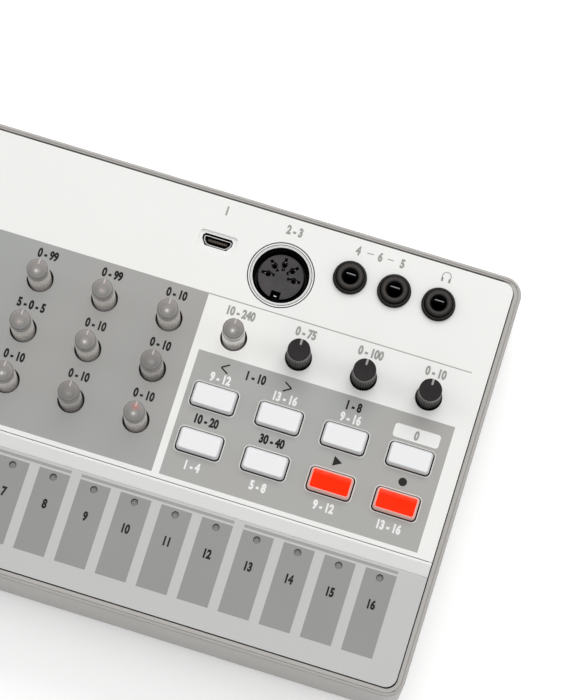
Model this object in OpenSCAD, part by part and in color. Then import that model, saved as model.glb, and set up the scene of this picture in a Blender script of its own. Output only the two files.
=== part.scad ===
// Desktop drum machine: sixteen touch keys, eighteen knobs, eight push buttons,
// a row of upright sockets and a six-cell battery bay, as separate pieces.
// Origin: centre of the footprint, on the surface that the feet stand on.
// X runs along the keys, Y towards the sockets, Z up.

/* [Case] */
// Width of the lower case
case_w = 193; // [186:1:210]
// Depth of the lower case
case_d = 115; // [112:1:125]
// Height of the flat top panel above the table
panel_z = 35; // [33.5:0.5:40]
// Wall thickness of the lower case
wall = 2; // [1.6:0.1:2.4]
// Floor thickness of the lower case
floor_t = 2; // [1.8:0.1:2.6]
// Gap between the upper case and the rim of the lower case
rim_gap = 0.3; // [0.2:0.05:0.5]
// How far the rim of the lower case lies below the top panel
rim_drop = 2; // [1.6:0.1:2.6]
// Radius of the vertical corners of the lower case
corner_r = 5; // [3:0.5:8]
// Radius of the rounded rim edge of the lower case
rim_r = 0.7; // [0.3:0.1:0.9]
// Radius of the rounded bottom edge of the lower case
bottom_r = 1.5; // [0.8:0.1:1.7]
// Thickness of the printed top panel
panel_t = 0.6; // [0.4:0.1:1]
// Thickness of the upper case under the top panel
deck_t = 2; // [1.6:0.1:2.4]
// Height of the rubber feet
foot_h = 2; // [1.5:0.5:4]

/* [Keys] */
// Number of touch keys
keys = 16;
// Strip of the sheet left free beside the first and the last key
key_margin = 6.2; // [5:0.1:9]
// How far the key sheet lies below the top panel
key_drop = 1.6; // [1.2:0.1:2]
// Thickness of the key sheet
sheet_t = 0.5; // [0.4:0.1:0.8]
// Depth in Y of the bevel between the panel and the key sheet
bevel_d = 3; // [2.5:0.1:3.5]
// Diameter of the lamp holes in the key sheet
lamp_d = 1.9; // [1.6:0.1:2.2]

/* [Knobs] */
// Number of knob columns
columns = 10;
// Distance from the left edge of the top panel to the first knob column
left_margin = 16.3; // [15.5:0.05:18]
// Distance from the right edge of the top panel to the last knob column
right_margin = 13.25; // [12.5:0.05:15]
// Distance between neighbouring knob rows
row_pitch = 14.1; // [13.8:0.05:14.4]
// Diameter of the clear knobs
clear_d = 5.8; // [5.4:0.1:6.2]
// Height of the clear knobs above the top panel
clear_h = 12; // [10:0.5:14]
// Diameter of the black knobs at the skirt
black_d = 6.2; // [5.8:0.1:6.4]
// Height of the black knobs above the top panel
black_h = 10; // [8:0.5:12]
// Radial gap between a knob and its panel hole
knob_gap = 0.45; // [0.35:0.05:0.6]
// Diameter of the potentiometer shafts
shaft_d = 5; // [4.5:0.1:5.2]
// Radial running clearance of the shafts
run_gap = 0.05; // [0.03:0.01:0.08]

/* [Buttons] */
// Width of a button cap at the panel
cap_w = 11.5; // [11:0.1:12]
// Depth of a button cap at the panel
cap_d = 6.2; // [5.8:0.1:6.6]
// Height of a button cap above the panel
cap_h = 2; // [1.5:0.1:2.5]
// Gap all round a button cap
cap_gap = 0.3; // [0.25:0.05:0.5]
// Travel of a button
cap_travel = 0.5; // [0.3:0.1:0.5]
// Distance between the two button rows
button_rows = 12.4; // [12.1:0.1:12.7]

/* [Sockets] */
// Bore of the three audio sockets
jack_bore = 3.6; // [3.5:0.05:3.7]
// Diameter of the black audio sockets at the panel
jack_ring = 8.8; // [8:0.1:9.2]
// Diameter of the narrower top of the audio sockets
jack_top_d = 7.6; // [7:0.1:8]
// Height of the audio sockets above the top panel
jack_proud = 2.4; // [1:0.1:3]
// Distance between neighbouring audio sockets
jack_pitch = 12.05; // [11.5:0.05:12.5]
// Diameter of the groove that takes the round plug
din_groove = 13.6; // [13.4:0.1:14]
// Diameter of the insert with the five contact holes
din_insert = 12; // [11.6:0.1:12.2]
// Diameter of the pin circle of the round socket
din_pins = 7; // [6.9:0.05:7.1]
// Width of the data socket shell
usb_w = 7.5; // [7.3:0.1:7.7]
// Thickness of the data socket shell
usb_h = 2.6; // [2.4:0.1:2.8]

/* [Battery bay] */
// Diameter of a battery cell
cell_d = 14.5; // [14:0.1:14.5]
// Length of a battery cell
cell_l = 50.5; // [49.5:0.1:50.5]
// Distance between neighbouring cells
cell_pitch = 15.5; // [15:0.1:16]
// How far the battery door slides
door_slide = 12; // [6:1:20]

/* [Hidden] */
$fn = 48;
eps = 0.01;
clear = 0.3;

// Outline of the upper case and both sheets
panel_w = case_w - 2 * (wall + rim_gap);
panel_d = case_d - 2 * (wall + rim_gap);
panel_r = corner_r - wall;
rear_y = panel_d / 2;
right_x = panel_w / 2;
key_pitch = (panel_w - 2 * key_margin) / keys;
col_pitch = (panel_w - left_margin - right_margin) / (columns - 1);

// Heights
deck_top = panel_z - panel_t;
deck_z = deck_top - deck_t;
sheet_top = panel_z - key_drop;
sheet_z = sheet_top - sheet_t;
key_floor_t = 1.6;
key_floor_z = sheet_z - key_floor_t;
rim_z = panel_z - rim_drop;
skirt_t = 1.6;
skirt_h = 3.3;
skirt_z = key_floor_z - skirt_h;
base_z = foot_h;
inside_z = base_z + floor_t;
board_t = 1.6;
pot_h = 6.2;
pot_gap = 0.6;
board_top = deck_z - pot_h - pot_gap;
board_z = board_top - board_t;
touch_z = key_floor_z - board_t;

// Distances from the rear edge of the top panel
jack_inset = 10.9;
din_inset = 15.55;
usb_inset = 12.15;
section_inset = 25.65;
row_inset = 35.3;
button_inset = 52.2;
panel_len = 76.6;
seam_w = 0.6;
seam_gap = 0.2;
sheet_gap = 0.05;
lamp_inset = 3.75;
lamp_gap = 0.1;
lamp_drop = 0.2;
jack_y = rear_y - jack_inset;
din_y = rear_y - din_inset;
usb_y = rear_y - usb_inset;
section_y = rear_y - section_inset;
row1_y = rear_y - row_inset;
buttons_y = rear_y - button_inset;
seam_y = rear_y - panel_len;
bevel_y = seam_y - seam_w;
sheet_y = bevel_y - bevel_d;
lamp_y = sheet_y - lamp_inset;
front_y = -rear_y;

// Distances from the right edge of the top panel
jack_side = 17.9;
din_side = 59.45;
usb_side = 78;
jack_x = [for (i = [0:2]) right_x - jack_side - jack_pitch * (2 - i)];
din_x = right_x - din_side;
usb_x = right_x - usb_side;
function col(n) = right_x - right_margin - n * col_pitch;
function row(n) = row1_y - n * row_pitch;

// Knobs: [column, row] of each
START = [6, 0];
LENGTH = [5, 0];
HIGH_CUT = [4, 0];
LEVEL = [7, 1];
PAN = [6, 1];
AMP_ATTACK = [5, 1];
AMP_DECAY = [4, 1];
SPEED = [7, 2];
PITCH_AMOUNT = [6, 2];
PITCH_ATTACK = [5, 2];
PITCH_DECAY = [4, 2];
TEMPO = [3, 0];
SWING = [2, 0];
REVERB = [1, 0];
VOLUME = [0, 0];
SELECT = [9, 1];
BASS = [9, 2];
TREBLE = [8, 2];
CLEAR = [START, LENGTH, HIGH_CUT, LEVEL, PAN, AMP_ATTACK, AMP_DECAY, SPEED,
    PITCH_AMOUNT, PITCH_ATTACK, PITCH_DECAY, TEMPO];
BLACK = [SWING, REVERB, VOLUME, SELECT, BASS, TREBLE];
clear_gap = 0.2;
clear_hole_d = clear_d + 2 * (knob_gap + clear_gap);
black_hole_d = black_d + 2 * knob_gap;
shaft_floor = 1;
shaft_z = board_top + shaft_floor;
shaft_top = deck_z - 0.3;
pot_w = 10;
knob_chamfer = 0.5;

// Buttons: [column, row] of each
button_r = 1;
button_wall_h = 1.2;
button_top_r = 0.8;
flange = 1;
flange_t = 0.7;
flange_top = deck_z - clear;
taper = 0.65;
plunger_gap = 0.3;
stem_w = 3;
stem_l = 0.5;
stem_z = flange_top - flange_t - stem_l;
tact_w = 6;
tact_h = 3.5;
tact_stem_d = 3.4;
BUTTONS = [for (r = [0:1]) for (c = [3:-1:0]) [c, r]];

// Display window
lens_w = 30;
lens_d = 13;
lens_x = (col(9) + col(8)) / 2;
lens_rise = 4.5;
lens_y = row1_y + lens_rise;
lens_t = 1.4;
lens_fit = 0.1;
lens_r = 1.1;
display_rim = 1.5;

// Round socket: a funnel in the upper case leads down to the socket's housing
din_collar_d = 17.5;
din_collar_gap = 0.15;
din_collar_drop = 0.1;
din_funnel_d = 16.6;
din_funnel_h = 1.3;
din_rim_t = 0.65;
din_rim_d = din_groove + 2 * din_rim_t;
din_rim_drop = 1.4;
din_rim_z = panel_z - din_rim_drop;
din_bore_gap = 0.1;
din_bore_d = din_rim_d + 2 * din_bore_gap;
din_drop = 2.2;
din_face = panel_z - din_drop;
din_body_w = 16.4;
din_floor = 4;
din_fit = 0.1;
din_hole_d = 1.7;
din_hole_l = 9;
din_hole_step = 45;
din_notch_w = 2.6;
din_notch_d = 2;
din_slot_l = 3.6;
din_slot_w = 0.8;
din_slot_h = 3;
shield_t = 0.4;
shield_h = 6;
contact_t = 0.2;
din_sleeve_drop = 1.2;

// Data socket: mouth with two sloping corners at the front
usb_slope = 1.15;
usb_wall = 0.3;
usb_gap = 0.35;
usb_hole_x = -0.1;
usb_hole_y = 0.2;
usb_recess = 1.3;
usb_recess_r = 0.8;
usb_drop = 0.4;
usb_tongue_h = 0.6;
usb_tongue_back = 0.35;
usb_tongue_drop = 1.6;

// Sockets stand on their own lower board
jack_body_h = 12.8;
jack_board_top = deck_z - jack_body_h;
jack_board_z = jack_board_top - board_t;
jack_w = 9.6;
jack_step_h = 0.8;
jack_mouth = 4.6;
jack_mouth_h = 0.7;
jack_edge = 0.4;
jack_edge_in = 0.5;
jack_fit = 0.1;
jack_window_z = 4;
jack_window_h = 5;
jack_window_w = 2;
jack_leaf_gap = 0.9;
jack_leaf_t = 0.7;
jack_leaf_w = 1.6;

// Groove round the rim of the lower case
groove_in = rim_r + 0.1;
groove_w = 0.2;
groove_h = 0.3;

// Battery bay
cells = 6;
bay_wall = 1.5;
bay_clear = 0.5;
spring_l = 2.6;
plate_t = 0.4;
plate_w = 10;
spring_d = 8;
spring_tip_d = 5;
nub_d = 5.5;
nub_l = 1;
bay_w = cells * cell_pitch + 2 * bay_clear;
bay_l = cell_l + spring_l + 2 * plate_t + bay_clear;
bay_front = 1.2;
bay_y0 = -case_d / 2 + wall + bay_front;
bay_y1 = bay_y0 + bay_l;
door_t = 1.7;
door_gap = 0.3;
cell_lift = 0.2;
cell_z = inside_z + cell_lift + cell_d / 2;
bay_top = cell_z + cell_d / 2 + bay_clear;
door_w = bay_w - 2 * door_gap;
door_inset = 0.2;
door_y0 = -case_d / 2 + bottom_r + door_inset;
tongue = 1.2;
tongue_t = 0.7;
tongue_h = 0.6;
tongue_z = base_z + tongue_h;
tongue_inset = 3;
door_tongue_z = tongue_z + door_gap / 2;

// Rear wall
dc_side = 14;
dc_x = -right_x + dc_side;
power_pitch = 18;
power_x = dc_x + power_pitch;
rear_port_h = 10;
rear_port_z = inside_z + rear_port_h;
dc_hole_d = 8;
dc_bore_d = 6.2;
dc_bore_l = 9.5;
dc_pin_d = 2;
dc_body_w = 9;
dc_body_h = 11;
dc_body_l = 14;
power_d = 7;
power_travel = 1.5;
pocket_d = 11;
pocket_h = 0.9;
power_proud = 0.2;
power_flange = 1;
power_flange_t = 0.8;
power_stem_d = 3;
power_stem_l = 2.8;
power_box = 8;
power_box_l = 9;

// Speaker
speaker_side = 58.2;
speaker_x = -right_x + speaker_side;
speaker_inset = 24.7;
speaker_y = rear_y - speaker_inset;
speaker_d = 40;
speaker_rim = 2.5;
speaker_rim_t = 1.2;
speaker_basket_h = 5;
speaker_neck_d = 20;
magnet_d = 22;
magnet_h = 5;
cone_gap = 0.2;
cone_t = 0.6;
cone_neck_d = 16;
cone_h = 4.4;
speaker_fit = 0.2;
speaker_ring_t = 1.5;
speaker_ring_h = 3;
slots = 9;
slot_w = 1.6;
slot_pitch = 3.6;
slot_reach = 16.5;

// Feet
foot_d = 10;
foot_taper = 1;
foot_side = 22;
foot_end = 9;

// Fasteners
post_r = 3.3;
post_side = 5.4;
post_x = right_x - post_side;
post_inset = 5.7;
post_y = rear_y - post_inset;
post_h = 20;
post_top = inside_z + post_h;
screw_d = 2.9;
thread_gap = 0.05;
thread_l = 5;
head_d = 5.2;
head_h = 2.2;
head_floor = 2;
cross_w = 3;
cross_t = 0.7;
cross_h = 0.8;
board_head_d = 3.8;
board_head_h = 1.2;
board_cross_w = 2.4;
board_cross_t = 0.5;
board_thread = 4;
board_screw_d = 2;
board_boss_r = 2.3;
BOARD_POINTS = [
    [(col(7) + col(8)) / 2, (row(0) + row(1)) / 2],
    [(col(4) + col(5)) / 2, (row(0) + row(1)) / 2],
    [(col(0) + col(1)) / 2, row(0)],
    [(col(7) + col(8)) / 2, seam_y + 4.5],
    [(col(3) + col(4)) / 2, seam_y + 4.5],
    [(col(0) + col(1)) / 2, seam_y + 4.5]];
JACK_POINTS = [
    [(jack_x[0] + din_x) / 2 + 4, jack_y - 9],
    [jack_x[2] + 3, jack_y - 9],
    [usb_x + 10, jack_y + 6.2]];

// A rectangle with round corners, centred on the origin
module rounded(w, d, r) {
    square([w, d - 2 * r], center = true);
    square([w - 2 * r, d], center = true);
    for (x = [-1, 1])
        for (y = [-1, 1])
            translate([x * (w / 2 - r), y * (d / 2 - r)])
                circle(r);
}

// Two crossed slots in the underside of a screw head
module cross_slot(w, t, h) {
    translate([0, 0, -1])
        block(w, t, h + 1);
    translate([0, 0, -1])
        block(t, w, h + 1);
}

module block(w, d, h) {
    translate([-w / 2, -d / 2, 0])
        cube([w, d, h]);
}

module at_posts(z) {
    for (x = [-1, 1])
        for (y = [-1, 1])
            translate([x * post_x, y * post_y, z])
                children();
}

module at_points(points, z) {
    for (p = points)
        translate([p[0], p[1], z])
            children();
}

module at_knobs(places, z) {
    for (k = places)
        translate([col(k[0]), row(k[1]), z])
            children();
}

module at_buttons(z) {
    for (b = BUTTONS)
        translate([col(b[0]), buttons_y - b[1] * button_rows, z])
            children();
}

module at_lamps(z) {
    for (i = [0:keys - 1])
        translate([(i - (keys - 1) / 2) * key_pitch, lamp_y, z])
            children();
}

// Everything that passes up through the top panel
module panel_holes(h) {
    at_knobs(CLEAR, -eps)
        cylinder(d = clear_hole_d, h = h);
    at_knobs(BLACK, -eps)
        cylinder(d = black_hole_d, h = h);
    at_buttons(-eps)
        linear_extrude(h)
            rounded(cap_w + 2 * cap_gap, cap_d + 2 * cap_gap, button_r + cap_gap);
    translate([lens_x, lens_y, -eps])
        linear_extrude(h)
            rounded(lens_w + 2 * lens_fit, lens_d + 2 * lens_fit, lens_r + lens_fit);
    for (x = jack_x)
        translate([x, jack_y, -eps])
            cylinder(d = jack_ring + 2 * jack_fit, h = h);
    translate([usb_x + usb_hole_x, usb_y + usb_hole_y, -eps])
        linear_extrude(h)
            data_mouth(usb_gap);
}

// ---------------------------------------------------------------- casings

// Half section of the lower case, with its rounded rim and bottom edges
module case_section(reach) {
    case_h = rim_z - base_z;
    translate([0, base_z + bottom_r])
        square([reach, case_h - bottom_r - rim_r]);
    translate([0, base_z])
        square([reach - bottom_r, case_h - rim_r]);
    translate([0, base_z + bottom_r])
        square([reach - rim_r, case_h - bottom_r]);
    translate([reach - bottom_r, base_z + bottom_r])
        circle(bottom_r);
    translate([reach - rim_r, rim_z - rim_r])
        circle(rim_r);
}

module case_slab(reach, len) {
    rotate([90, 0, 0])
        linear_extrude(len, center = true) {
            case_section(reach);
            mirror([1, 0])
                case_section(reach);
        }
}

// Solid outer form of the lower case, before it is hollowed out
module case_block() {
    case_slab(case_w / 2, case_d - 2 * corner_r);
    rotate([0, 0, 90])
        case_slab(case_d / 2, case_w - 2 * corner_r);
    for (x = [-1, 1])
        for (y = [-1, 1])
            translate([x * (case_w / 2 - corner_r), y * (case_d / 2 - corner_r), 0])
                rotate_extrude()
                    case_section(corner_r);
}

// One slot of the speaker's round grille, at a distance x from its middle
module speaker_slot(x) {
    translate([speaker_x + x, speaker_y, base_z - 1])
        linear_extrude(floor_t + 2)
            rounded(slot_w, 2 * sqrt(slot_reach * slot_reach - x * x), slot_w / 2 - eps);
}

module lower_case() {
    color("#a8a5a0")
    difference() {
        union() {
            difference() {
                case_block();
                translate([0, 0, inside_z])
                    linear_extrude(rim_z)
                        rounded(case_w - 2 * wall, case_d - 2 * wall, corner_r - wall);
                // fine groove round the rim
                translate([0, 0, rim_z - groove_h])
                    linear_extrude(1)
                        difference() {
                            rounded(case_w - 2 * groove_in, case_d - 2 * groove_in, corner_r - groove_in);
                            rounded(case_w - 2 * groove_in - 2 * groove_w,
                                case_d - 2 * groove_in - 2 * groove_w, corner_r - groove_in - groove_w);
                        }
            }
            // ledge that the skirt of the upper case stands on
            difference() {
                translate([0, 0, skirt_z - 2])
                    linear_extrude(2)
                        rounded(case_w - wall, case_d - wall, corner_r - wall / 2);
                translate([0, 0, skirt_z - 3])
                    linear_extrude(4)
                        rounded(panel_w - 2 * skirt_t, panel_d - 2 * skirt_t, panel_r);
            }
            at_posts(inside_z - eps)
                cylinder(r = post_r, h = post_top - inside_z + eps);
            // battery bay walls and ceiling
            difference() {
                translate([0, (bay_y0 + bay_y1) / 2, inside_z - eps])
                    block(bay_w + 2 * bay_wall, bay_l + 2 * bay_wall, bay_top + bay_wall - inside_z);
                translate([0, (bay_y0 + bay_y1) / 2, inside_z - 2 * eps])
                    block(bay_w, bay_l, bay_top - inside_z + eps);
            }
            // ring that the speaker sits in
            translate([speaker_x, speaker_y, inside_z - eps])
                difference() {
                    cylinder(d = speaker_d + 2 * speaker_fit + 2 * speaker_ring_t, h = speaker_ring_h);
                    translate([0, 0, -eps])
                        cylinder(d = speaker_d + 2 * speaker_fit, h = speaker_ring_h + 1);
                }
        }
        // battery opening through the floor, and the slot for the sliding door
        translate([0, (bay_y0 + bay_y1) / 2, base_z - 1])
            block(bay_w, bay_l, floor_t + 2);
        translate([-bay_w / 2, -case_d / 2 - 1, base_z - 1])
            cube([bay_w, bay_y1 + case_d / 2 + 1, door_t + 1 + clear]);
        translate([-bay_w / 2 - tongue, -case_d / 2 - 1, tongue_z])
            cube([bay_w + 2 * tongue, bay_y1 + case_d / 2 + 1, tongue_t + door_gap]);
        at_posts(base_z - 1)
            cylinder(d = screw_d + 0.4, h = post_top);
        at_posts(base_z - 1)
            cylinder(d = head_d + 0.4, h = 1 + head_floor + head_h);
        // speaker slots
        for (i = [0:slots - 1])
            speaker_slot((i - (slots - 1) / 2) * slot_pitch);
        // power inlet and power button
        translate([dc_x, case_d / 2 + 1, rear_port_z])
            rotate([90, 0, 0])
                cylinder(d = dc_hole_d, h = wall + 2);
        translate([power_x, case_d / 2 + 1, rear_port_z])
            rotate([90, 0, 0])
                cylinder(d = power_d + 0.6, h = wall + 2);
        translate([power_x, case_d / 2 + 1, rear_port_z])
            rotate([90, 0, 0])
                cylinder(d = pocket_d, h = pocket_h + 1);
    }
}

module upper_case() {
    color("#f0f0ee")
    difference() {
        union() {
            intersection() {
                rotate([90, 0, 90])
                    linear_extrude(panel_w + 2, center = true)
                        polygon([[rear_y + 1, deck_z], [rear_y + 1, deck_top], [seam_y, deck_top],
                            [seam_y, panel_z], [bevel_y, panel_z], [sheet_y, sheet_top],
                            [sheet_y, sheet_z], [front_y - 1, sheet_z], [front_y - 1, key_floor_z],
                            [sheet_y + 1, key_floor_z], [bevel_y + 1, deck_z]]);
                translate([0, 0, skirt_z])
                    linear_extrude(panel_z)
                        rounded(panel_w, panel_d, panel_r);
            }
            difference() {
                translate([0, 0, skirt_z])
                    linear_extrude(key_floor_z - skirt_z + eps)
                        rounded(panel_w, panel_d, panel_r);
                translate([0, 0, skirt_z - 1])
                    linear_extrude(deck_z)
                        rounded(panel_w - 2 * skirt_t, panel_d - 2 * skirt_t, panel_r - 0.5);
            }
            difference() {
                translate([0, 0, skirt_z])
                    linear_extrude(deck_z - skirt_z + eps)
                        rounded(panel_w, panel_d, panel_r);
                translate([0, 0, skirt_z - 1])
                    linear_extrude(deck_z)
                        rounded(panel_w - 2 * skirt_t, panel_d - 2 * skirt_t, panel_r - 0.5);
                translate([-case_w, -case_d + bevel_y + 1, 0])
                    cube([2 * case_w, case_d, 2 * panel_z]);
            }
            translate([din_x, din_y, deck_top - eps])
                cylinder(d = din_collar_d, h = panel_t - din_collar_drop + eps);
            at_posts(post_top)
                cylinder(r = post_r, h = key_floor_z - post_top + eps);
            at_points(BOARD_POINTS, board_top)
                cylinder(r = board_boss_r, h = deck_z - board_top + eps);
            at_points(JACK_POINTS, jack_board_top)
                cylinder(r = board_boss_r, h = deck_z - jack_board_top + eps);
        }
        translate([0, 0, deck_z - 0.5])
            panel_holes(deck_t + 1);
        translate([din_x, din_y, deck_z - 1])
            cylinder(d = din_bore_d, h = deck_t + 4);
        translate([din_x, din_y, panel_z - din_collar_drop - din_funnel_h])
            cylinder(d1 = din_bore_d, d2 = din_funnel_d, h = din_funnel_h + eps);
        at_lamps(key_floor_z - 1)
            cylinder(d = lamp_d, h = key_floor_t + 2);
        at_posts(post_top - 1)
            cylinder(d = screw_d + 2 * thread_gap, h = thread_l + 3);
        at_points(BOARD_POINTS, board_top - 1)
            cylinder(d = board_screw_d + 2 * thread_gap, h = 6);
        at_points(JACK_POINTS, jack_board_top - 1)
            cylinder(d = board_screw_d + 2 * thread_gap, h = 6);
    }
}

module top_panel() {
    color("#f0f0ee")
    difference() {
        translate([0, 0, deck_top])
            linear_extrude(panel_t)
                intersection() {
                    rounded(panel_w, panel_d, panel_r);
                    translate([-case_w, seam_y + seam_gap])
                        square([2 * case_w, case_d]);
                }
        translate([0, 0, deck_top - 0.5])
            panel_holes(panel_t + 1);
        translate([din_x, din_y, deck_top - 1])
            cylinder(d = din_collar_d + 2 * din_collar_gap, h = panel_t + 2);
        translate([usb_x, usb_y, deck_top - 1])
            linear_extrude(panel_t + 2)
                rounded(usb_w + 2 * usb_recess, usb_h + 2 * usb_recess, usb_recess_r);
    }
}

module key_sheet() {
    color("#c9cac7")
    difference() {
        translate([0, 0, sheet_z])
            linear_extrude(sheet_t)
                intersection() {
                    rounded(panel_w, panel_d, panel_r);
                    translate([-case_w, sheet_y - sheet_gap - case_d])
                        square([2 * case_w, case_d]);
                }
        at_lamps(sheet_z - 1)
            cylinder(d = lamp_d, h = sheet_t + 2);
    }
}

module rubber_feet() {
    color("#2b2b2b")
    for (x = [-1, 1])
        for (y = [-1, 1])
            translate([x * (case_w / 2 - foot_side), y * (case_d / 2 - foot_end), 0])
                cylinder(d1 = foot_d - foot_taper, d2 = foot_d, h = foot_h);
}

module case_screws() {
    color("#6b6b6b")
    at_posts(base_z + head_floor)
        difference() {
            union() {
                cylinder(d = head_d, h = head_h);
                translate([0, 0, head_h - eps])
                    cylinder(d = screw_d, h = post_top + thread_l - base_z - head_floor - head_h);
            }
            cross_slot(cross_w, cross_t, cross_h);
        }
}

// ----------------------------------------------------------------- boards

board_y0 = seam_y + 1.3;
board_y1 = section_y - 0.5;
board_side = 9;
board_tab_w = 16;
board_tab_l = 19;
board_tab_side = 9;
board_hole_d = board_screw_d + 0.2;
touch_gap = 1.5;
ribbon_w = 20;
ribbon_t = 0.3;
ribbon_lap = 5;

module main_board() {
    color("#2f6b3f")
    difference() {
        translate([0, 0, board_z])
            linear_extrude(board_t) {
                translate([-right_x + board_side, board_y0])
                    square([panel_w - 2 * board_side, board_y1 - board_y0]);
                translate([usb_x - board_tab_side, board_y1 - 1])
                    square([board_tab_w, board_tab_l + 1]);
            }
        at_points(BOARD_POINTS, board_z - 1)
            cylinder(d = board_hole_d, h = board_t + 2);
    }
}

module board_screw() {
    difference() {
        union() {
            translate([0, 0, -eps])
                cylinder(d = board_screw_d, h = board_t + board_thread);
            translate([0, 0, -board_head_h])
                cylinder(d = board_head_d, h = board_head_h);
        }
        translate([0, 0, -board_head_h])
            cross_slot(board_cross_w, board_cross_t, board_head_h / 2);
    }
}

module board_screws() {
    color("#8a8a8a") {
        at_points(BOARD_POINTS, board_z)
            board_screw();
        at_points(JACK_POINTS, jack_board_z)
            board_screw();
    }
}

touch_y0 = front_y + 3;
touch_y1 = sheet_y - 1;

module touch_board() {
    color("#2f6b3f")
    translate([0, (touch_y0 + touch_y1) / 2, touch_z])
        block(2 * (post_x - post_r - touch_gap), touch_y1 - touch_y0, board_t);
}

// Flat cable from the main board up to the touch board
module ribbon_cable() {
    color("#d8d2c4")
    translate([-ribbon_w / 2, 0, 0]) {
        translate([0, touch_y1 - ribbon_lap, touch_z - ribbon_t])
            cube([ribbon_w, ribbon_lap, ribbon_t]);
        translate([0, touch_y1 - ribbon_t, board_top])
            cube([ribbon_w, ribbon_t, touch_z - board_top]);
        translate([0, touch_y1 - ribbon_t, board_top])
            cube([ribbon_w, board_y0 + ribbon_lap - touch_y1, ribbon_t]);
    }
}

jack_board_x0 = usb_x + board_tab_w - board_tab_side + 0.6;
jack_board_x1 = jack_x[2] + 7;
jack_board_y0 = jack_y - 12.5;
jack_board_y1 = rear_y - 1 - skirt_t;

module jack_board() {
    color("#2f6b3f")
    difference() {
        translate([jack_board_x0, jack_board_y0, jack_board_z])
            cube([jack_board_x1 - jack_board_x0, jack_board_y1 - jack_board_y0, board_t]);
        at_points(JACK_POINTS, jack_board_z - 1)
            cylinder(d = board_hole_d, h = board_t + 2);
        for (x = jack_x)
            translate([x, jack_y, jack_board_z - 1])
                cylinder(d = jack_bore + 0.6, h = board_t + 2);
    }
}

module potentiometers() {
    color("#3c4a5a")
    at_knobs(concat(CLEAR, BLACK), board_top)
        difference() {
            block(pot_w, pot_w, pot_h);
            translate([0, 0, shaft_z - board_top - 0.2])
                cylinder(d = shaft_d + 2 * run_gap, h = pot_h);
        }
}

module tact_switches() {
    color("#4a4a4a")
    at_buttons(board_top) {
        block(tact_w, tact_w, tact_h);
        translate([0, 0, tact_h - eps])
            cylinder(d = tact_stem_d, h = stem_z - cap_travel - plunger_gap - board_top - tact_h);
    }
}

module indicator_lamps() {
    color("#d84030")
    at_lamps(key_floor_z)
        cylinder(d = lamp_d - 2 * lamp_gap, h = key_floor_t - lamp_drop);
}

chip_w = 12;
chip_d = 9;
chip_h = 1.1;
small_chip_w = 7;
small_chip_d = 5;
small_chip_h = 0.9;
plug_w = 22;
plug_d = 3;
plug_h = 1.6;

// Chips under the main board and the plug of the flat cable on it
module board_chips() {
    color("#202224") {
        for (n = [8, 6, 4, 1.5])
            translate([col(n), row(1) - 2, board_z - chip_h])
                block(chip_w, chip_d, chip_h);
        for (n = [7, 5, 2.5])
            translate([col(n), row(0) + 2, board_z - small_chip_h])
                block(small_chip_w, small_chip_d, small_chip_h);
        translate([0, board_y0 + plug_d, board_top + ribbon_t])
            block(plug_w, plug_d, plug_h);
    }
}

module display_lens() {
    color("#3a1512")
    translate([lens_x, lens_y, panel_z - lens_t])
        linear_extrude(lens_t)
            rounded(lens_w, lens_d, lens_r);
}

// Four-digit display under the lens
module display_module() {
    color("#1c1c1e")
    translate([lens_x, lens_y, board_top])
        block(lens_w - display_rim, lens_d - display_rim, panel_z - lens_t - board_top);
}

// ---------------------------------------------------------------- sockets

// Outline of the data socket, grown by g all round
module data_mouth(g) {
    w = usb_w / 2 + g;
    d = usb_h / 2 + g;
    corner = 0.4 + g / 2;
    polygon([[w - corner, d], [-w + corner, d], [-w, d - corner], [-w, 0],
        [-w + usb_slope, -d], [w - usb_slope, -d], [w, 0], [w, d - corner]]);
}

module data_socket_shell() {
    color("#b9bcbf")
    translate([usb_x, usb_y, board_top])
        difference() {
            linear_extrude(panel_z - usb_drop - board_top)
                data_mouth(0);
            translate([0, 0, 1])
                linear_extrude(panel_z)
                    data_mouth(-usb_wall);
        }
}

module data_socket_tongue() {
    color("#1b1b1c")
    translate([usb_x, usb_y + usb_tongue_back, board_top + 1])
        block(usb_w - 2 * usb_slope, usb_tongue_h, panel_z - board_top - 1 - usb_tongue_drop);
}

module midi_socket_housing() {
    color("#2a292b")
    translate([din_x, din_y, jack_board_top])
        difference() {
            union() {
                block(din_body_w, din_body_w, deck_z - clear - jack_board_top);
                cylinder(d = din_rim_d, h = din_rim_z - jack_board_top);
            }
            translate([0, 0, din_floor])
                cylinder(d = din_groove, h = panel_z);
        }
}

module at_din_holes() {
    for (i = [-2:2])
        translate([din_x, din_y, din_face - din_hole_l])
            rotate(90 + i * din_hole_step)
                translate([din_pins / 2, 0, 0])
                    children();
}

// Round block with five holes and the notch for the plug's key
module midi_socket_insert() {
    color("#3c3b3d")
    difference() {
        translate([din_x, din_y, jack_board_top + din_floor])
            cylinder(d = din_insert, h = din_face - jack_board_top - din_floor);
        at_din_holes() {
            cylinder(d = din_hole_d, h = din_hole_l + 1);
            translate([0, 0, din_hole_l - din_slot_h])
                block(din_slot_l, din_slot_w, din_slot_h + 1);
        }
        translate([din_x, din_y - din_insert / 2, din_face - din_hole_l])
            block(din_notch_w, 2 * din_notch_d, din_hole_l + 1);
    }
}

module midi_socket_shield() {
    color("#c7c9cb")
    translate([din_x, din_y, jack_board_top + din_floor])
        difference() {
            cylinder(d = din_groove - din_fit, h = shield_h);
            translate([0, 0, -1])
                cylinder(d = din_groove - din_fit - 2 * shield_t, h = shield_h + 2);
        }
}

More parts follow.
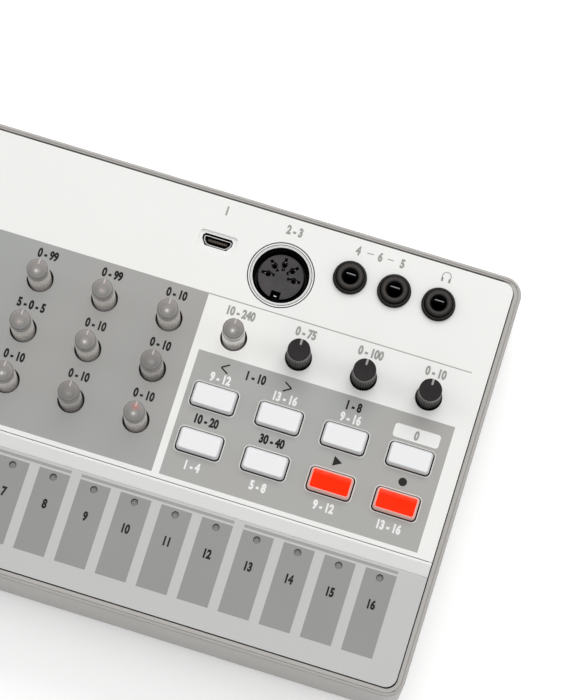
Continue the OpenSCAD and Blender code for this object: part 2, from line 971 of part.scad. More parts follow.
module jack(n) {
    ring_z = deck_z - 2 * jack_fit;
    step_z = panel_z + jack_step_h;
    edge_z = panel_z + jack_proud - jack_edge;
    color("#3a3837")
    translate([jack_x[n], jack_y, 0])
        difference() {
            union() {
                translate([0, 0, jack_board_top])
                    block(jack_w, jack_w, ring_z - jack_board_top);
                translate([0, 0, ring_z - eps])
                    cylinder(d = jack_ring, h = step_z - ring_z + eps);
                translate([0, 0, step_z - eps])
                    cylinder(d = jack_top_d, h = edge_z - step_z + eps);
                translate([0, 0, edge_z - eps])
                    cylinder(d1 = jack_top_d, d2 = jack_top_d - 2 * jack_edge_in, h = jack_edge);
            }
            translate([0, 0, jack_board_top - 1])
                cylinder(d = jack_bore, h = panel_z);
            translate([0, 0, panel_z + jack_proud - jack_mouth_h])
                cylinder(d1 = jack_bore, d2 = jack_mouth, h = jack_mouth_h + eps);
            // window for the contact spring
            translate([jack_bore / 2 - 0.2, -jack_window_w / 2, jack_board_top + jack_window_z])
                cube([2, jack_window_w, jack_window_h]);
        }
}

module sync_in_socket() {
    jack(0);
}

module sync_out_socket() {
    jack(1);
}

module headphone_socket() {
    jack(2);
}

// Sleeves of the round socket, springs of the audio sockets, pin of the power inlet
module socket_contacts() {
    color("#c9ccd0") {
        at_din_holes()
            difference() {
                cylinder(d = din_hole_d - din_fit, h = din_hole_l - din_sleeve_drop);
                translate([0, 0, 1])
                    cylinder(d = din_hole_d - din_fit - 2 * contact_t, h = din_hole_l);
            }
        for (x = jack_x)
            translate([x + jack_bore / 2 + jack_leaf_gap, jack_y, jack_board_top + jack_window_z])
                translate([0, -jack_leaf_w / 2, 0])
                    cube([jack_leaf_t, jack_leaf_w, jack_window_h]);
        translate([dc_x, case_d / 2 - wall - dc_bore_l, rear_port_z])
            rotate([-90, 0, 0])
                cylinder(d = dc_pin_d, h = dc_bore_l - 1);
    }
}

module power_inlet() {
    color("#242424")
    translate([dc_x, case_d / 2 - wall, rear_port_z])
        difference() {
            translate([-dc_body_w / 2, -dc_body_l, -dc_body_h / 2])
                cube([dc_body_w, dc_body_l, dc_body_h]);
            rotate([90, 0, 0])
                translate([0, 0, -1])
                    cylinder(d = dc_bore_d, h = dc_bore_l + 1);
        }
}

module power_switch() {
    color("#3a3a3c")
    translate([power_x, case_d / 2 - wall - power_travel - power_stem_l, rear_port_z])
        rotate([90, 0, 0])
            difference() {
                translate([-power_box / 2, -power_box / 2, 0])
                    cube([power_box, power_box, power_box_l]);
                translate([0, 0, -1])
                    cylinder(d = power_stem_d + 2 * run_gap, h = power_box_l / 2);
            }
}

module power_button() {
    flange_at = wall + 2 * power_proud;
    color("#2f2f31")
    translate([power_x, case_d / 2 - power_proud, rear_port_z])
        rotate([90, 0, 0]) {
            cylinder(d = power_d, h = flange_at + power_flange_t);
            translate([0, 0, flange_at])
                cylinder(d = power_d + 2 * power_flange, h = power_flange_t);
            translate([0, 0, flange_at + power_flange_t - power_proud])
                cylinder(d = power_stem_d, h = power_travel + power_stem_l);
        }
}

// ---------------------------------------------------------------- speaker

module speaker_frame() {
    rim_d = speaker_d - 2 * speaker_rim;
    color("#55585c")
    translate([speaker_x, speaker_y, inside_z])
        difference() {
            union() {
                cylinder(d = speaker_d, h = speaker_rim_t);
                translate([0, 0, speaker_rim_t - eps])
                    cylinder(d1 = rim_d + 2, d2 = speaker_neck_d, h = speaker_basket_h);
                translate([0, 0, speaker_rim_t + speaker_basket_h - 2 * cone_gap])
                    cylinder(d = magnet_d, h = magnet_h);
            }
            translate([0, 0, -eps])
                cylinder(d = rim_d, h = speaker_rim_t + 0.1);
            translate([0, 0, speaker_rim_t])
                cylinder(d1 = rim_d, d2 = cone_neck_d + 1, h = speaker_basket_h - 2 * cone_gap);
        }
}

module speaker_cone() {
    cone_d = speaker_d - 2 * speaker_rim - 2 * cone_gap;
    color("#1d1d1f")
    translate([speaker_x, speaker_y, inside_z + speaker_rim_t - cone_gap])
        difference() {
            cylinder(d1 = cone_d, d2 = cone_neck_d, h = cone_h);
            translate([0, 0, -eps])
                cylinder(d1 = cone_d - 2 * cone_t, d2 = cone_neck_d - 1, h = cone_h - cone_t);
        }
}

// -------------------------------------------------------------- batteries

cell_y0 = bay_y0 + plate_t + bay_clear / 2;

module at_cells() {
    for (i = [0:cells - 1])
        translate([(i - (cells - 1) / 2) * cell_pitch, cell_y0, cell_z])
            mirror([0, i % 2, 0])
                translate([0, i % 2 == 0 ? 0 : -cell_l, 0])
                    rotate([-90, 0, 0])
                        children();
}

module battery_cells() {
    color("#b8893a")
    at_cells() {
        cylinder(d = cell_d, h = cell_l - nub_l);
        cylinder(d = nub_d, h = cell_l);
    }
}

module battery_contacts() {
    color("#c9ccd0")
    for (i = [0:cells - 1])
        translate([(i - (cells - 1) / 2) * cell_pitch, 0, cell_z]) {
            for (y = [bay_y0 + plate_t / 2, bay_y1 - plate_t / 2])
                translate([0, y, -plate_w / 2])
                    block(plate_w, plate_t, plate_w);
            translate([0, bay_y1 - plate_t, 0])
                rotate([90, 0, 0])
                    cylinder(d1 = spring_d, d2 = spring_tip_d, h = spring_l);
        }
}

module battery_door() {
    door_l = bay_y1 - door_gap - door_y0;
    color("#a8a5a0") {
        translate([-door_w / 2, door_y0, base_z])
            cube([door_w, door_l, door_t]);
        translate([-door_w / 2 - tongue, door_y0 + tongue_inset, door_tongue_z])
            cube([door_w + 2 * tongue, door_l - tongue_inset, tongue_t]);
    }
}

// ------------------------------------------------------- knobs and buttons

module knob(place, d, h, tint) {
    color(tint)
    translate([col(place[0]), row(place[1]), 0]) {
        translate([0, 0, shaft_z])
            cylinder(d = shaft_d, h = shaft_top - shaft_z + eps);
        translate([0, 0, shaft_top])
            cylinder(d = d, h = panel_z + h - knob_chamfer - shaft_top);
        translate([0, 0, panel_z + h - knob_chamfer - eps])
            cylinder(d1 = d, d2 = d - 2 * knob_chamfer, h = knob_chamfer + eps);
    }
}

module clear_knob(place) {
    knob(place, clear_d, clear_h, "#b5b1ae");
}

module black_knob(place) {
    knob(place, black_d, black_h, "#2b2a2b");
}

module knob_start() { clear_knob(START); }
module knob_length() { clear_knob(LENGTH); }
module knob_high_cut() { clear_knob(HIGH_CUT); }
module knob_level() { clear_knob(LEVEL); }
module knob_pan() { clear_knob(PAN); }
module knob_amp_attack() { clear_knob(AMP_ATTACK); }
module knob_amp_decay() { clear_knob(AMP_DECAY); }
module knob_speed() { clear_knob(SPEED); }
module knob_pitch_amount() { clear_knob(PITCH_AMOUNT); }
module knob_pitch_attack() { clear_knob(PITCH_ATTACK); }
module knob_pitch_decay() { clear_knob(PITCH_DECAY); }
module knob_tempo() { clear_knob(TEMPO); }
module knob_swing() { black_knob(SWING); }
module knob_reverb() { black_knob(REVERB); }
module knob_volume() { black_knob(VOLUME); }
module knob_select() { black_knob(SELECT); }
module knob_bass() { black_knob(BASS); }
module knob_treble() { black_knob(TREBLE); }

module button(n, tint) {
    b = BUTTONS[n];
    step_z = panel_z + button_wall_h;
    color(tint)
    translate([col(b[0]), buttons_y - b[1] * button_rows, 0]) {
        translate([0, 0, stem_z])
            block(stem_w, stem_w, flange_top - flange_t - stem_z + eps);
        translate([0, 0, flange_top - flange_t])
            block(cap_w + 2 * flange, cap_d + 2 * flange, flange_t);
        translate([0, 0, flange_top - eps])
            linear_extrude(step_z - flange_top + 2 * eps)
                rounded(cap_w, cap_d, button_r);
        hull() {
            translate([0, 0, step_z])
                linear_extrude(0.1)
                    rounded(cap_w, cap_d, button_r, $fn = 24);
            translate([0, 0, panel_z + cap_h - 0.1])
                linear_extrude(0.1)
                    rounded(cap_w - 2 * taper, cap_d - 2 * taper, button_top_r, $fn = 24);
        }
    }
}

module button_1() { button(0, "#f0f0f2"); }
module button_2() { button(1, "#f0f0f2"); }
module button_3() { button(2, "#f0f0f2"); }
module button_4() { button(3, "#f0f0f2"); }
module button_5() { button(4, "#f0f0f2"); }
module button_6() { button(5, "#f0f0f2"); }
module button_play() { button(6, "#fe3a10"); }
module button_record() { button(7, "#fe3a10"); }

lower_case();
upper_case();
top_panel();
key_sheet();
rubber_feet();
case_screws();
main_board();
board_screws();
touch_board();
ribbon_cable();
jack_board();
potentiometers();
tact_switches();
indicator_lamps();
board_chips();
display_lens();
display_module();
data_socket_shell();
data_socket_tongue();
midi_socket_housing();
midi_socket_insert();
midi_socket_shield();
sync_in_socket();
sync_out_socket();
headphone_socket();
socket_contacts();
power_inlet();
power_switch();
power_button();
speaker_frame();
speaker_cone();
battery_cells();
battery_contacts();
battery_door();
knob_start();
knob_length();
knob_high_cut();
knob_level();
knob_pan();
knob_amp_attack();
knob_amp_decay();
knob_speed();
knob_pitch_amount();
knob_pitch_attack();
knob_pitch_decay();
knob_tempo();
knob_swing();
knob_reverb();
knob_volume();
knob_select();
knob_bass();
knob_treble();
button_1();
button_2();
button_3();
button_4();
button_5();
button_6();
button_play();
button_record();
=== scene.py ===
import math

import bmesh
import bpy
import numpy as np
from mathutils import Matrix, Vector

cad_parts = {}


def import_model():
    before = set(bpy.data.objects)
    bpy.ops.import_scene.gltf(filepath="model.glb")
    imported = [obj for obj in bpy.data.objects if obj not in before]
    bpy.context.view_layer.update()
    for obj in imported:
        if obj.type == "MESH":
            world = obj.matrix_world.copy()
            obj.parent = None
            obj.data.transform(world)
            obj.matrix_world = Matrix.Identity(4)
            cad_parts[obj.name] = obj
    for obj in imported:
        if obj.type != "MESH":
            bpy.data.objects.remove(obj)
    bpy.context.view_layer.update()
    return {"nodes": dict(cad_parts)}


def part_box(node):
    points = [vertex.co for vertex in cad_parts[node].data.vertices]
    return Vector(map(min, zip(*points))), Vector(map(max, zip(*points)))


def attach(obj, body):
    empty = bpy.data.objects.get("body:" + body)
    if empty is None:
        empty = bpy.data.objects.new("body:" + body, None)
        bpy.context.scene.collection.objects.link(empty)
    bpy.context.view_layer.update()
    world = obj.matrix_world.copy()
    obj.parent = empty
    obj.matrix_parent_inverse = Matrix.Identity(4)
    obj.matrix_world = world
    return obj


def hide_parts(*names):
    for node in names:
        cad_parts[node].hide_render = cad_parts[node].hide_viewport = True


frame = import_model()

MM = 0.001

# ------------------------------------------------------------------ sizes, in mm

def middle(node):
    """Centre of a node's box in x and y, and its lowest and highest z, in mm."""
    low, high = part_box(node)
    x = (low[0] + high[0]) / 2 / MM
    y = (low[1] + high[1]) / 2 / MM
    return x, y, low[2] / MM, high[2] / MM


RIGHT_X, REAR_Y, PANEL_Z = [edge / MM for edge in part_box("top_panel")[1]]
RIM_Z = middle("lower_case")[3]
SHEET_Z = middle("key_sheet")[3]
CLEAR_TOP = middle("knob_tempo")[3]
BLACK_TOP = middle("knob_volume")[3]
LAST_COLUMN_X = middle("knob_volume")[0]
COL_PITCH = LAST_COLUMN_X - middle("knob_reverb")[0]
KEY_PITCH = 11.0
SEAM_Y = REAR_Y - 76.6

LEFT_SECTION = (LAST_COLUMN_X - 7 * COL_PITCH - 7.95, 18.3)
RIGHT_SECTION = (20.3, 89.8)
LEFT_SECTION_TOP = REAR_Y - 25.65
RIGHT_SECTION_TOP = REAR_Y - 40.8
SECTION_BOTTOM = REAR_Y - 75.15
RULE_Y = REAR_Y - 25.75
RULE_H = 0.28
KEY_W = 8.3
KEY_TOP = REAR_Y - 82.3
KEY_BOTTOM = REAR_Y - 104.5
BAR_TOP = REAR_Y - 80.95
BAR_H = 0.8
KEYS_HALF_W = 8 * KEY_PITCH
LAMPS_Y = middle("indicator_lamps")[1]
LAMP_HOLE_R = 1.4

# Heights under which the white case lies in shade: just above the panel's underside, and
# just below the key sheet's
UNDER_PANEL_Z = PANEL_Z - 0.58
UNDER_KEYS_Z = SHEET_Z - 0.52

# Half width, half depth and, but for the button's walls, corner radius
BUTTON_WALLS = (5.68, 3.03)
BUTTON_HOLE = (6.05, 3.4, 1.3)
BUTTON_FACE = (5.12, 2.46, 0.55)
SHIFT_PLATE = (6.15, 1.85, 0.85)
DATA_RECESS = (5.3, 2.85, 0.8)
POINTER = (0.27, 1.75, 0.25)
SHIFT_PLATE_RISE = 6.3  # of the plate's middle behind the button's

KNOB_FOOT_R = 2.45
CLEAR_KNOB_R = 2.9
BLACK_KNOB_R = 3.1
COLLAR_R = 8.58  # of the round socket's white collar, up to its dark edge
INNER_GROOVE = (7.77, 7.88)  # radii of the two grooves round that collar
OUTER_GROOVE = (8.04, 8.23)

CLEAR_KNOBS = ("start", "length", "high_cut", "level", "pan", "amp_attack", "amp_decay",
               "speed", "pitch_amount", "pitch_attack", "pitch_decay", "tempo")
BLACK_KNOBS = ("swing", "reverb", "volume", "select", "bass", "treble")
WHITE_BUTTONS = tuple(f"button_{n}" for n in range(1, 7))
RED_BUTTONS = ("button_play", "button_record")


# ------------------------------------------------------------ surfaces from arrays

def mesh_object(name, points, faces, uv=None, smooth_angle=35):
    """A mesh object from an (n, 3) array in mm and an (m, 3 or 4) array of corners."""
    mesh = bpy.data.meshes.new(name)
    corners = faces.shape[1]
    mesh.vertices.add(len(points))
    mesh.vertices.foreach_set("co", (points * MM).astype(np.float32).ravel())
    mesh.loops.add(faces.size)
    mesh.loops.foreach_set("vertex_index", faces.astype(np.int32).ravel())
    mesh.polygons.add(len(faces))
    mesh.polygons.foreach_set("loop_start", np.arange(0, faces.size, corners, dtype=np.int32))
    mesh.polygons.foreach_set("loop_total", np.full(len(faces), corners, dtype=np.int32))
    mesh.update(calc_edges=True)
    if uv is not None:
        layer = mesh.uv_layers.new(name="local")
        layer.data.foreach_set("uv", uv[faces.ravel()].astype(np.float32).ravel())
    mesh.validate()
    mesh.shade_smooth()
    mesh.set_sharp_from_angle(angle=math.radians(smooth_angle))
    piece = bpy.data.objects.new(name, mesh)
    bpy.context.scene.collection.objects.link(piece)
    return piece


def ring_faces(rows, cols, looped):
    """Corners of the quads between neighbouring rings; each ring closes on itself."""
    i = np.arange(rows if looped else rows - 1)[:, None]
    j = np.arange(cols)[None, :]
    here = i * cols
    above = ((i + 1) % rows) * cols
    after = (j + 1) % cols
    quads = np.stack([here + j, here + after, above + after, above + j], axis=-1)
    return quads.reshape(-1, 4)


POLE_SIZE = 0.002


def skin(name, rings, looped=False, uv=None, smooth_angle=35):
    """A closed skin over a stack of rings, an array of (rings, points, 3).

    A looped skin joins its last ring to its first. Any other shrinks its first and its last
    ring to a tiny ring, middle + POLE_SIZE (ring - middle), which one face then fills.
    """
    if not looped:
        first, last = rings[:1], rings[-1:]
        near_first, near_last = [
            ring.mean(axis=1, keepdims=True) * (1 - POLE_SIZE) + ring * POLE_SIZE
            for ring in (first, last)]
        rings = np.concatenate([near_first, rings, near_last])
        if uv is not None:
            uv = np.concatenate([uv[:1] * POLE_SIZE, uv, uv[-1:] * POLE_SIZE])
    rows, cols = rings.shape[:2]
    faces = ring_faces(rows, cols, looped)
    points = rings.reshape(-1, 3)
    flat_uv = None if uv is None else uv.reshape(-1, 2)
    piece = mesh_object(name, points, faces, flat_uv, smooth_angle)
    if not looped:
        close_poles(piece, cols)
    return piece


def close_poles(piece, cols):
    """Fills the tiny rings at both ends of a skin, so that the skin is watertight."""
    form = bmesh.new()
    form.from_mesh(piece.data)
    form.verts.ensure_lookup_table()
    count = len(form.verts)
    form.faces.new([form.verts[k] for k in reversed(range(cols))])
    form.faces.new([form.verts[k] for k in range(count - cols, count)])
    form.to_mesh(piece.data)
    form.free()


def arc(centre_r, centre_z, radius, start, end, count):
    """Points of a circular arc in the (r, z) plane: centre + radius (cos a, sin a)."""
    a = np.radians(np.linspace(start, end, count))
    return np.stack([centre_r + radius * np.cos(a), centre_z + radius * np.sin(a)], axis=1)


def lathe(name, profile, x, y, segments=96, ribs=None, looped=False, smooth_angle=35):
    """A profile of (r, z) points turned about an upright axis at (x, y).

    With ribs = (count, depth, low, high), the radius between the heights low and high
    becomes r + depth cos(count angle), faded in over 0.3 mm and out over the last 2 mm.
    """
    profile = np.asarray(profile, dtype=float)
    angle = np.linspace(0, 2 * math.pi, segments, endpoint=False)
    r = np.repeat(profile[:, :1], segments, axis=1)
    z = np.repeat(profile[:, 1:], segments, axis=1)
    if ribs:
        count, depth, low, high = ribs
        fade_in, fade_out = 0.3, 2.0
        fade = np.clip((z - low) / fade_in, 0, 1) * np.clip((high - z) / fade_out, 0, 1)
        r = r + depth * fade * np.cos(count * angle)[None, :]
    rings = np.stack([x + r * np.cos(angle), y + r * np.sin(angle), z], axis=-1)
    uv = np.stack([rings[..., 0] - x, rings[..., 1] - y], axis=-1)
    return skin(name, rings, looped, uv, smooth_angle)


def rounded_ring(half_w, half_d, radius):
    """A rectangle outline with round corners, anticlockwise from the right-hand side:
    corner's centre + radius (cos a, sin a), with a quarter turn for each corner."""
    quarter = np.linspace(0, math.pi / 2, 9)
    points = []
    for turn, sx, sy in ((0, 1, 1), (1, -1, 1), (2, -1, -1), (3, 1, -1)):
        a = quarter + turn * math.pi / 2
        centre = [sx * (half_w - radius), sy * (half_d - radius)]
        points.append(radius * np.column_stack([np.cos(a), np.sin(a)]) + centre)
    return np.concatenate(points)


def loft(name, levels, x, y, smooth_angle=35):
    """A skin over round-cornered rectangles: levels of (half_w, half_d, radius, z)."""
    outlines = [rounded_ring(w, d, r) for w, d, r, _ in levels]
    rings = [np.column_stack([o[:, 0] + x, o[:, 1] + y, np.full(len(o), level[3])])
             for o, level in zip(outlines, levels)]
    return skin(name, np.array(rings), uv=np.array(outlines), smooth_angle=smooth_angle)


# ------------------------------------------------------------------ shader fields

def put(tree, value, entry):
    """Feeds an input from a field or a socket, or sets it to a number or a colour."""
    if isinstance(value, Field):
        value = value.socket
    if isinstance(value, bpy.types.NodeSocket):
        tree.links.new(value, entry)
    elif isinstance(value, tuple):
        entry.default_value = (*value, 1)
    else:
        entry.default_value = value


class Field:
    """A number that varies over the surface; arithmetic on it places Math nodes."""

    def __init__(self, tree, socket):
        """Wraps a node's output socket."""
        self.tree = tree
        self.socket = socket

    def math(self, kind, *others):
        """The result of a Math node of that kind on this field and the others."""
        node = self.tree.nodes.new("ShaderNodeMath")
        node.operation = kind
        for value, entry in zip((self, *others), node.inputs):
            put(self.tree, value, entry)
        return Field(self.tree, node.outputs[0])

    def __add__(self, other):
        return self.math("ADD", other)

    def __sub__(self, other):
        return self.math("SUBTRACT", other)

    def __mul__(self, other):
        return self.math("MULTIPLY", other)

    def __abs__(self):
        return self.math("ABSOLUTE")

    def most(self, other):
        """The larger of two fields."""
        return self.math("MAXIMUM", other)

    def least(self, other):
        """The smaller of two fields."""
        return self.math("MINIMUM", other)

    def below(self, edge, soft=0.03):
        """1 where the field is under edge and 0 where it is over, over a soft step."""
        step = (self - edge) * (-1 / soft) + 0.5
        return step.least(1.0).most(0.0)

    def above(self, edge, soft=0.03):
        """1 where the field is over edge and 0 where it is under, over a soft step."""
        step = (self - edge) * (1 / soft) + 0.5
        return step.least(1.0).most(0.0)


def flip(mask):
    """1 where the mask is 0, and 0 where it is 1."""
    return mask * -1.0 + 1.0


def length(a, b):
    """Length of the vector (a, b)."""
    return (a.math("POWER", 2.0) + b.math("POWER", 2.0)).math("SQRT")


def noise(tree, scale, detail=2.0):
    """A noise field on the piece's own coordinates."""
    coords = tree.nodes.new("ShaderNodeTexCoord")
    cloud = tree.nodes.new("ShaderNodeTexNoise")
    put(tree, scale, cloud.inputs["Scale"])
    put(tree, detail, cloud.inputs["Detail"])
    put(tree, coords.outputs["Object"], cloud.inputs["Vector"])
    return Field(tree, cloud.outputs["Fac"])


def local_mm(tree, source, scale):
    """The surface's own coordinates times a scale, as three fields."""
    coords = tree.nodes.new("ShaderNodeTexCoord")
    split = tree.nodes.new("ShaderNodeSeparateXYZ")
    tree.links.new(coords.outputs[source], split.inputs[0])
    return [Field(tree, socket) * scale for socket in split.outputs]


def box_distance(x, y, cx, cy, half_w, half_d, radius):
    """Distance to a round-cornered rectangle, below zero inside it:
    length(max(q, 0)) + min(max(qx, qy), 0) - radius, with q = |p - centre| - half + radius."""
    qx = abs(x - cx) - (half_w - radius)
    qy = abs(y - cy) - (half_d - radius)
    return length(qx.most(0.0), qy.most(0.0)) + qx.most(qy).least(0.0) - radius


def span(field, low, high, soft=0.03):
    """1 between low and high."""
    return field.above(low, soft) * field.below(high, soft)


# ------------------------------------------------------------------ shared groups

def new_group(name, inputs, outputs):
    """An empty shader node group with named sockets, its entry and its way out."""
    group = bpy.data.node_groups.new(name, "ShaderNodeTree")
    for label, kind, value in inputs:
        socket = group.interface.new_socket(label, in_out="INPUT", socket_type=kind)
        socket.default_value = value
    for label, kind in outputs:
        group.interface.new_socket(label, in_out="OUTPUT", socket_type=kind)
    entry = group.nodes.new("NodeGroupInput")
    leave = group.nodes.new("NodeGroupOutput")
    return group, entry, leave


def moulded_grain_group():
    """Fine moulding grain: a height for bump, a roughness and a slightly uneven tone."""
    group, entry, leave = new_group(
        "moulded grain",
        [("Scale", "NodeSocketFloat", 1800.0), ("Roughness", "NodeSocketFloat", 0.4),
         ("Unevenness", "NodeSocketFloat", 0.06), ("Tint", "NodeSocketColor", (0.8, 0.8, 0.8, 1))],
        [("Color", "NodeSocketColor"), ("Roughness", "NodeSocketFloat"),
         ("Height", "NodeSocketFloat")])
    spots = noise(group, entry.outputs["Scale"], 3)
    cloud = noise(group, 35, 4)
    rough = Field(group, entry.outputs["Roughness"])
    uneven = Field(group, entry.outputs["Unevenness"])
    roughness = rough + (cloud - 0.5) * uneven * 2.0 + (spots - 0.5) * uneven
    shade = (cloud - 0.5) * uneven + 1.0
    tint = group.nodes.new("ShaderNodeVectorMath")
    tint.operation = "SCALE"
    put(group, entry.outputs["Tint"], tint.inputs[0])
    put(group, shade, tint.inputs["Scale"])
    put(group, tint.outputs[0], leave.inputs["Color"])
    put(group, roughness, leave.inputs["Roughness"])
    put(group, spots, leave.inputs["Height"])
    return group


def dust_group():
    """A light film of dust and fingers' grease, as a mask, thicker where the cloud is dense."""
    group, entry, leave = new_group(
        "dust film", [("Amount", "NodeSocketFloat", 0.1)], [("Mask", "NodeSocketFloat")])
    coords = group.nodes.new("ShaderNodeTexCoord")
    specks = group.nodes.new("ShaderNodeTexVoronoi")
    put(group, 420, specks.inputs["Scale"])
    put(group, coords.outputs["Object"], specks.inputs["Vector"])
    haze = noise(group, 60, 6).above(0.55, 0.3)
    speck = Field(group, specks.outputs["Distance"]).below(0.07, 0.05)
    mask = (haze * 0.6 + speck * 0.4) * Field(group, entry.outputs["Amount"])
    put(group, mask, leave.inputs["Mask"])
    return group


GRAIN = moulded_grain_group()
DUST = dust_group()
DUST_TINT = (0.62, 0.61, 0.58)


class Finish:
    """A material under construction: one Principled shader and helpers to feed it."""

    def __init__(self, name, rough=0.4, gloss=0.5, **values):
        """Starts a material; values are shader inputs, with _ for each space."""
        self.material = bpy.data.materials.new(name)
        self.material.use_nodes = True
        self.tree = self.material.node_tree
        self.shader = self.tree.nodes["Principled BSDF"]
        self.feed("Roughness", rough)
        self.feed("Specular IOR Level", gloss)
        for label, value in values.items():
            self.feed(label.replace("_", " "), value)

    def place(self):
        """The piece's own coordinates in mm: across, back and up."""
        return local_mm(self.tree, "Object", 1 / MM)

    def flat_place(self):
        """Coordinates in mm from a new piece's own upright axis: across and back."""
        return local_mm(self.tree, "UV", 1.0)[:2]

    def feed(self, label, value):
        """Feeds or sets one of the shader's inputs."""
        put(self.tree, value, self.shader.inputs[label])

    def glow(self, tone, strength):
        """Lets the surface give off light of a tone."""
        self.feed("Emission Color", tone)
        self.feed("Emission Strength", strength)

    def group(self, tree, **values):
        """Places a shared group and sets its inputs."""
        node = self.tree.nodes.new("ShaderNodeGroup")
        node.node_tree = tree
        for label, value in values.items():
            put(self.tree, value, node.inputs[label])
        return node

    def grain(self, tint, rough, scale=1800.0, uneven=0.06, bump=0.05, depth=0.02):
        """Moulded plastic: the grain group feeds colour, roughness and bump, and a film of
        dust lies over the colour. Returns the finished material."""
        grain = self.group(GRAIN, Scale=scale, Roughness=rough, Unevenness=uneven, Tint=tint)
        dust = self.group(DUST, Amount=uneven)
        dusty = self.blend(grain.outputs["Color"], DUST_TINT, dust.outputs["Mask"])
        self.feed("Base Color", dusty)
        self.feed("Roughness", grain.outputs["Roughness"])
        relief = self.tree.nodes.new("ShaderNodeBump")
        put(self.tree, bump, relief.inputs["Strength"])
        put(self.tree, depth * MM, relief.inputs["Distance"])
        put(self.tree, grain.outputs["Height"], relief.inputs["Height"])
        self.feed("Normal", relief.outputs["Normal"])
        return self.material

    def blend(self, low, high, mask):
        """Mixes two colours or colour sockets by a mask."""
        mix = self.tree.nodes.new("ShaderNodeMix")
        mix.data_type = "RGBA"
        for index, value in ((6, low), (7, high), (0, mask)):
            put(self.tree, value, mix.inputs[index])
        return mix.outputs[2]

    def layers(self, tone, *over):
        """A tone with others laid over it in turn, each where its mask is 1."""
        for colour, mask in over:
            tone = self.blend(tone, colour, mask)
        return tone


WHITE = (0.83, 0.83, 0.81)
LEFT_GREY = (0.343, 0.350, 0.342)
LEFT_WARM = (0.358, 0.346, 0.334)
RIGHT_GREY = (0.376, 0.383, 0.370)
RIGHT_WARM = (0.385, 0.376, 0.363)
# Near black, painted where shade falls: down holes, gaps and recesses
PAINTED_SHADE = (0.006, 0.006, 0.006)
CASE_GREY = (0.43, 0.415, 0.395)
SHEET_GREY = (0.52, 0.522, 0.514)
KEY_GREY = (0.278, 0.278, 0.273)
PRINT_GREY = (0.33, 0.33, 0.315)
PRINT_DARK = (0.014, 0.014, 0.013)
NO_LIGHT = (0.0, 0.0, 0.0)


def button_lips(x, y):
    """1 on the thin bare rim round each of the eight button holes."""
    first = middle("button_1")
    last = middle("button_record")
    rims = [box_distance(x, y, first[0] + column * COL_PITCH, row_y, *BUTTON_HOLE)
            for row_y in (first[1], last[1]) for column in range(4)]
    nearest = rims[0]
    for rim in rims[1:]:
        nearest = nearest.least(rim)
    return span(nearest, 0.02, 0.3, 0.06)


def panel_finish():
    """White satin sheet with two grey printed sections, bare rims round the button holes,
    a thin rule and a white plate for the shift button's number."""
    finish = Finish("printed white panel", gloss=0.4)
    x, y, _ = finish.place()
    left = span(x, *LEFT_SECTION) * span(y, SECTION_BOTTOM, LEFT_SECTION_TOP)
    right = span(x, *RIGHT_SECTION) * span(y, SECTION_BOTTOM, RIGHT_SECTION_TOP)
    plate = box_distance(x, y, middle("button_record")[0],
                         middle("button_1")[1] + SHIFT_PLATE_RISE, *SHIFT_PLATE)
    right = right * plate.above(0.0, 0.05)
    rule = span(y, RULE_Y - RULE_H / 2, RULE_Y + RULE_H / 2)
    rule = rule * span(x, LEFT_SECTION[1], RIGHT_SECTION[1])
    patches = noise(finish.tree, 22, 3).above(0.5, 0.3)
    tone = finish.layers(
        WHITE,
        (PRINT_GREY, rule),
        (finish.blend(LEFT_GREY, LEFT_WARM, patches), left),
        (finish.blend(RIGHT_GREY, RIGHT_WARM, patches), right),
        (WHITE, button_lips(x, y) * 0.6))
    return finish.grain(tone, 0.4, scale=900, uneven=0.035, bump=0.03)


def across_key(x):
    """Distance to the right of the middle line of the key at x."""
    return (x + KEYS_HALF_W).math("WRAP", KEY_PITCH, 0.0) - KEY_PITCH / 2


def key_sheet_finish():
    """Light grey sheet with sixteen darker touch areas, a bar over each four of them and
    painted shade down inside the lamp holes."""
    finish = Finish("printed key sheet", gloss=0.4)
    x, y, z = finish.place()
    across = across_key(x)
    within = abs(x).below(KEYS_HALF_W)
    keys = abs(across).below(KEY_W / 2) * span(y, KEY_BOTTOM, KEY_TOP) * within
    in_four = abs((x + KEYS_HALF_W).math("WRAP", 4 * KEY_PITCH, 0.0) - 2 * KEY_PITCH)
    bars = in_four.below(1.5 * KEY_PITCH + KEY_W / 2) * within
    bars = bars * span(y, BAR_TOP - BAR_H, BAR_TOP)
    hole = length(across, y - LAMPS_Y).below(LAMP_HOLE_R)
    tone = finish.layers(
        SHEET_GREY,
        (KEY_GREY, keys + bars * 0.85),
        # painted shade down the walls of the lamp holes
        (PAINTED_SHADE, hole * z.below(SHEET_Z - 0.08, 0.04)))
    return finish.grain(tone, 0.42, scale=900, uneven=0.035, bump=0.03)


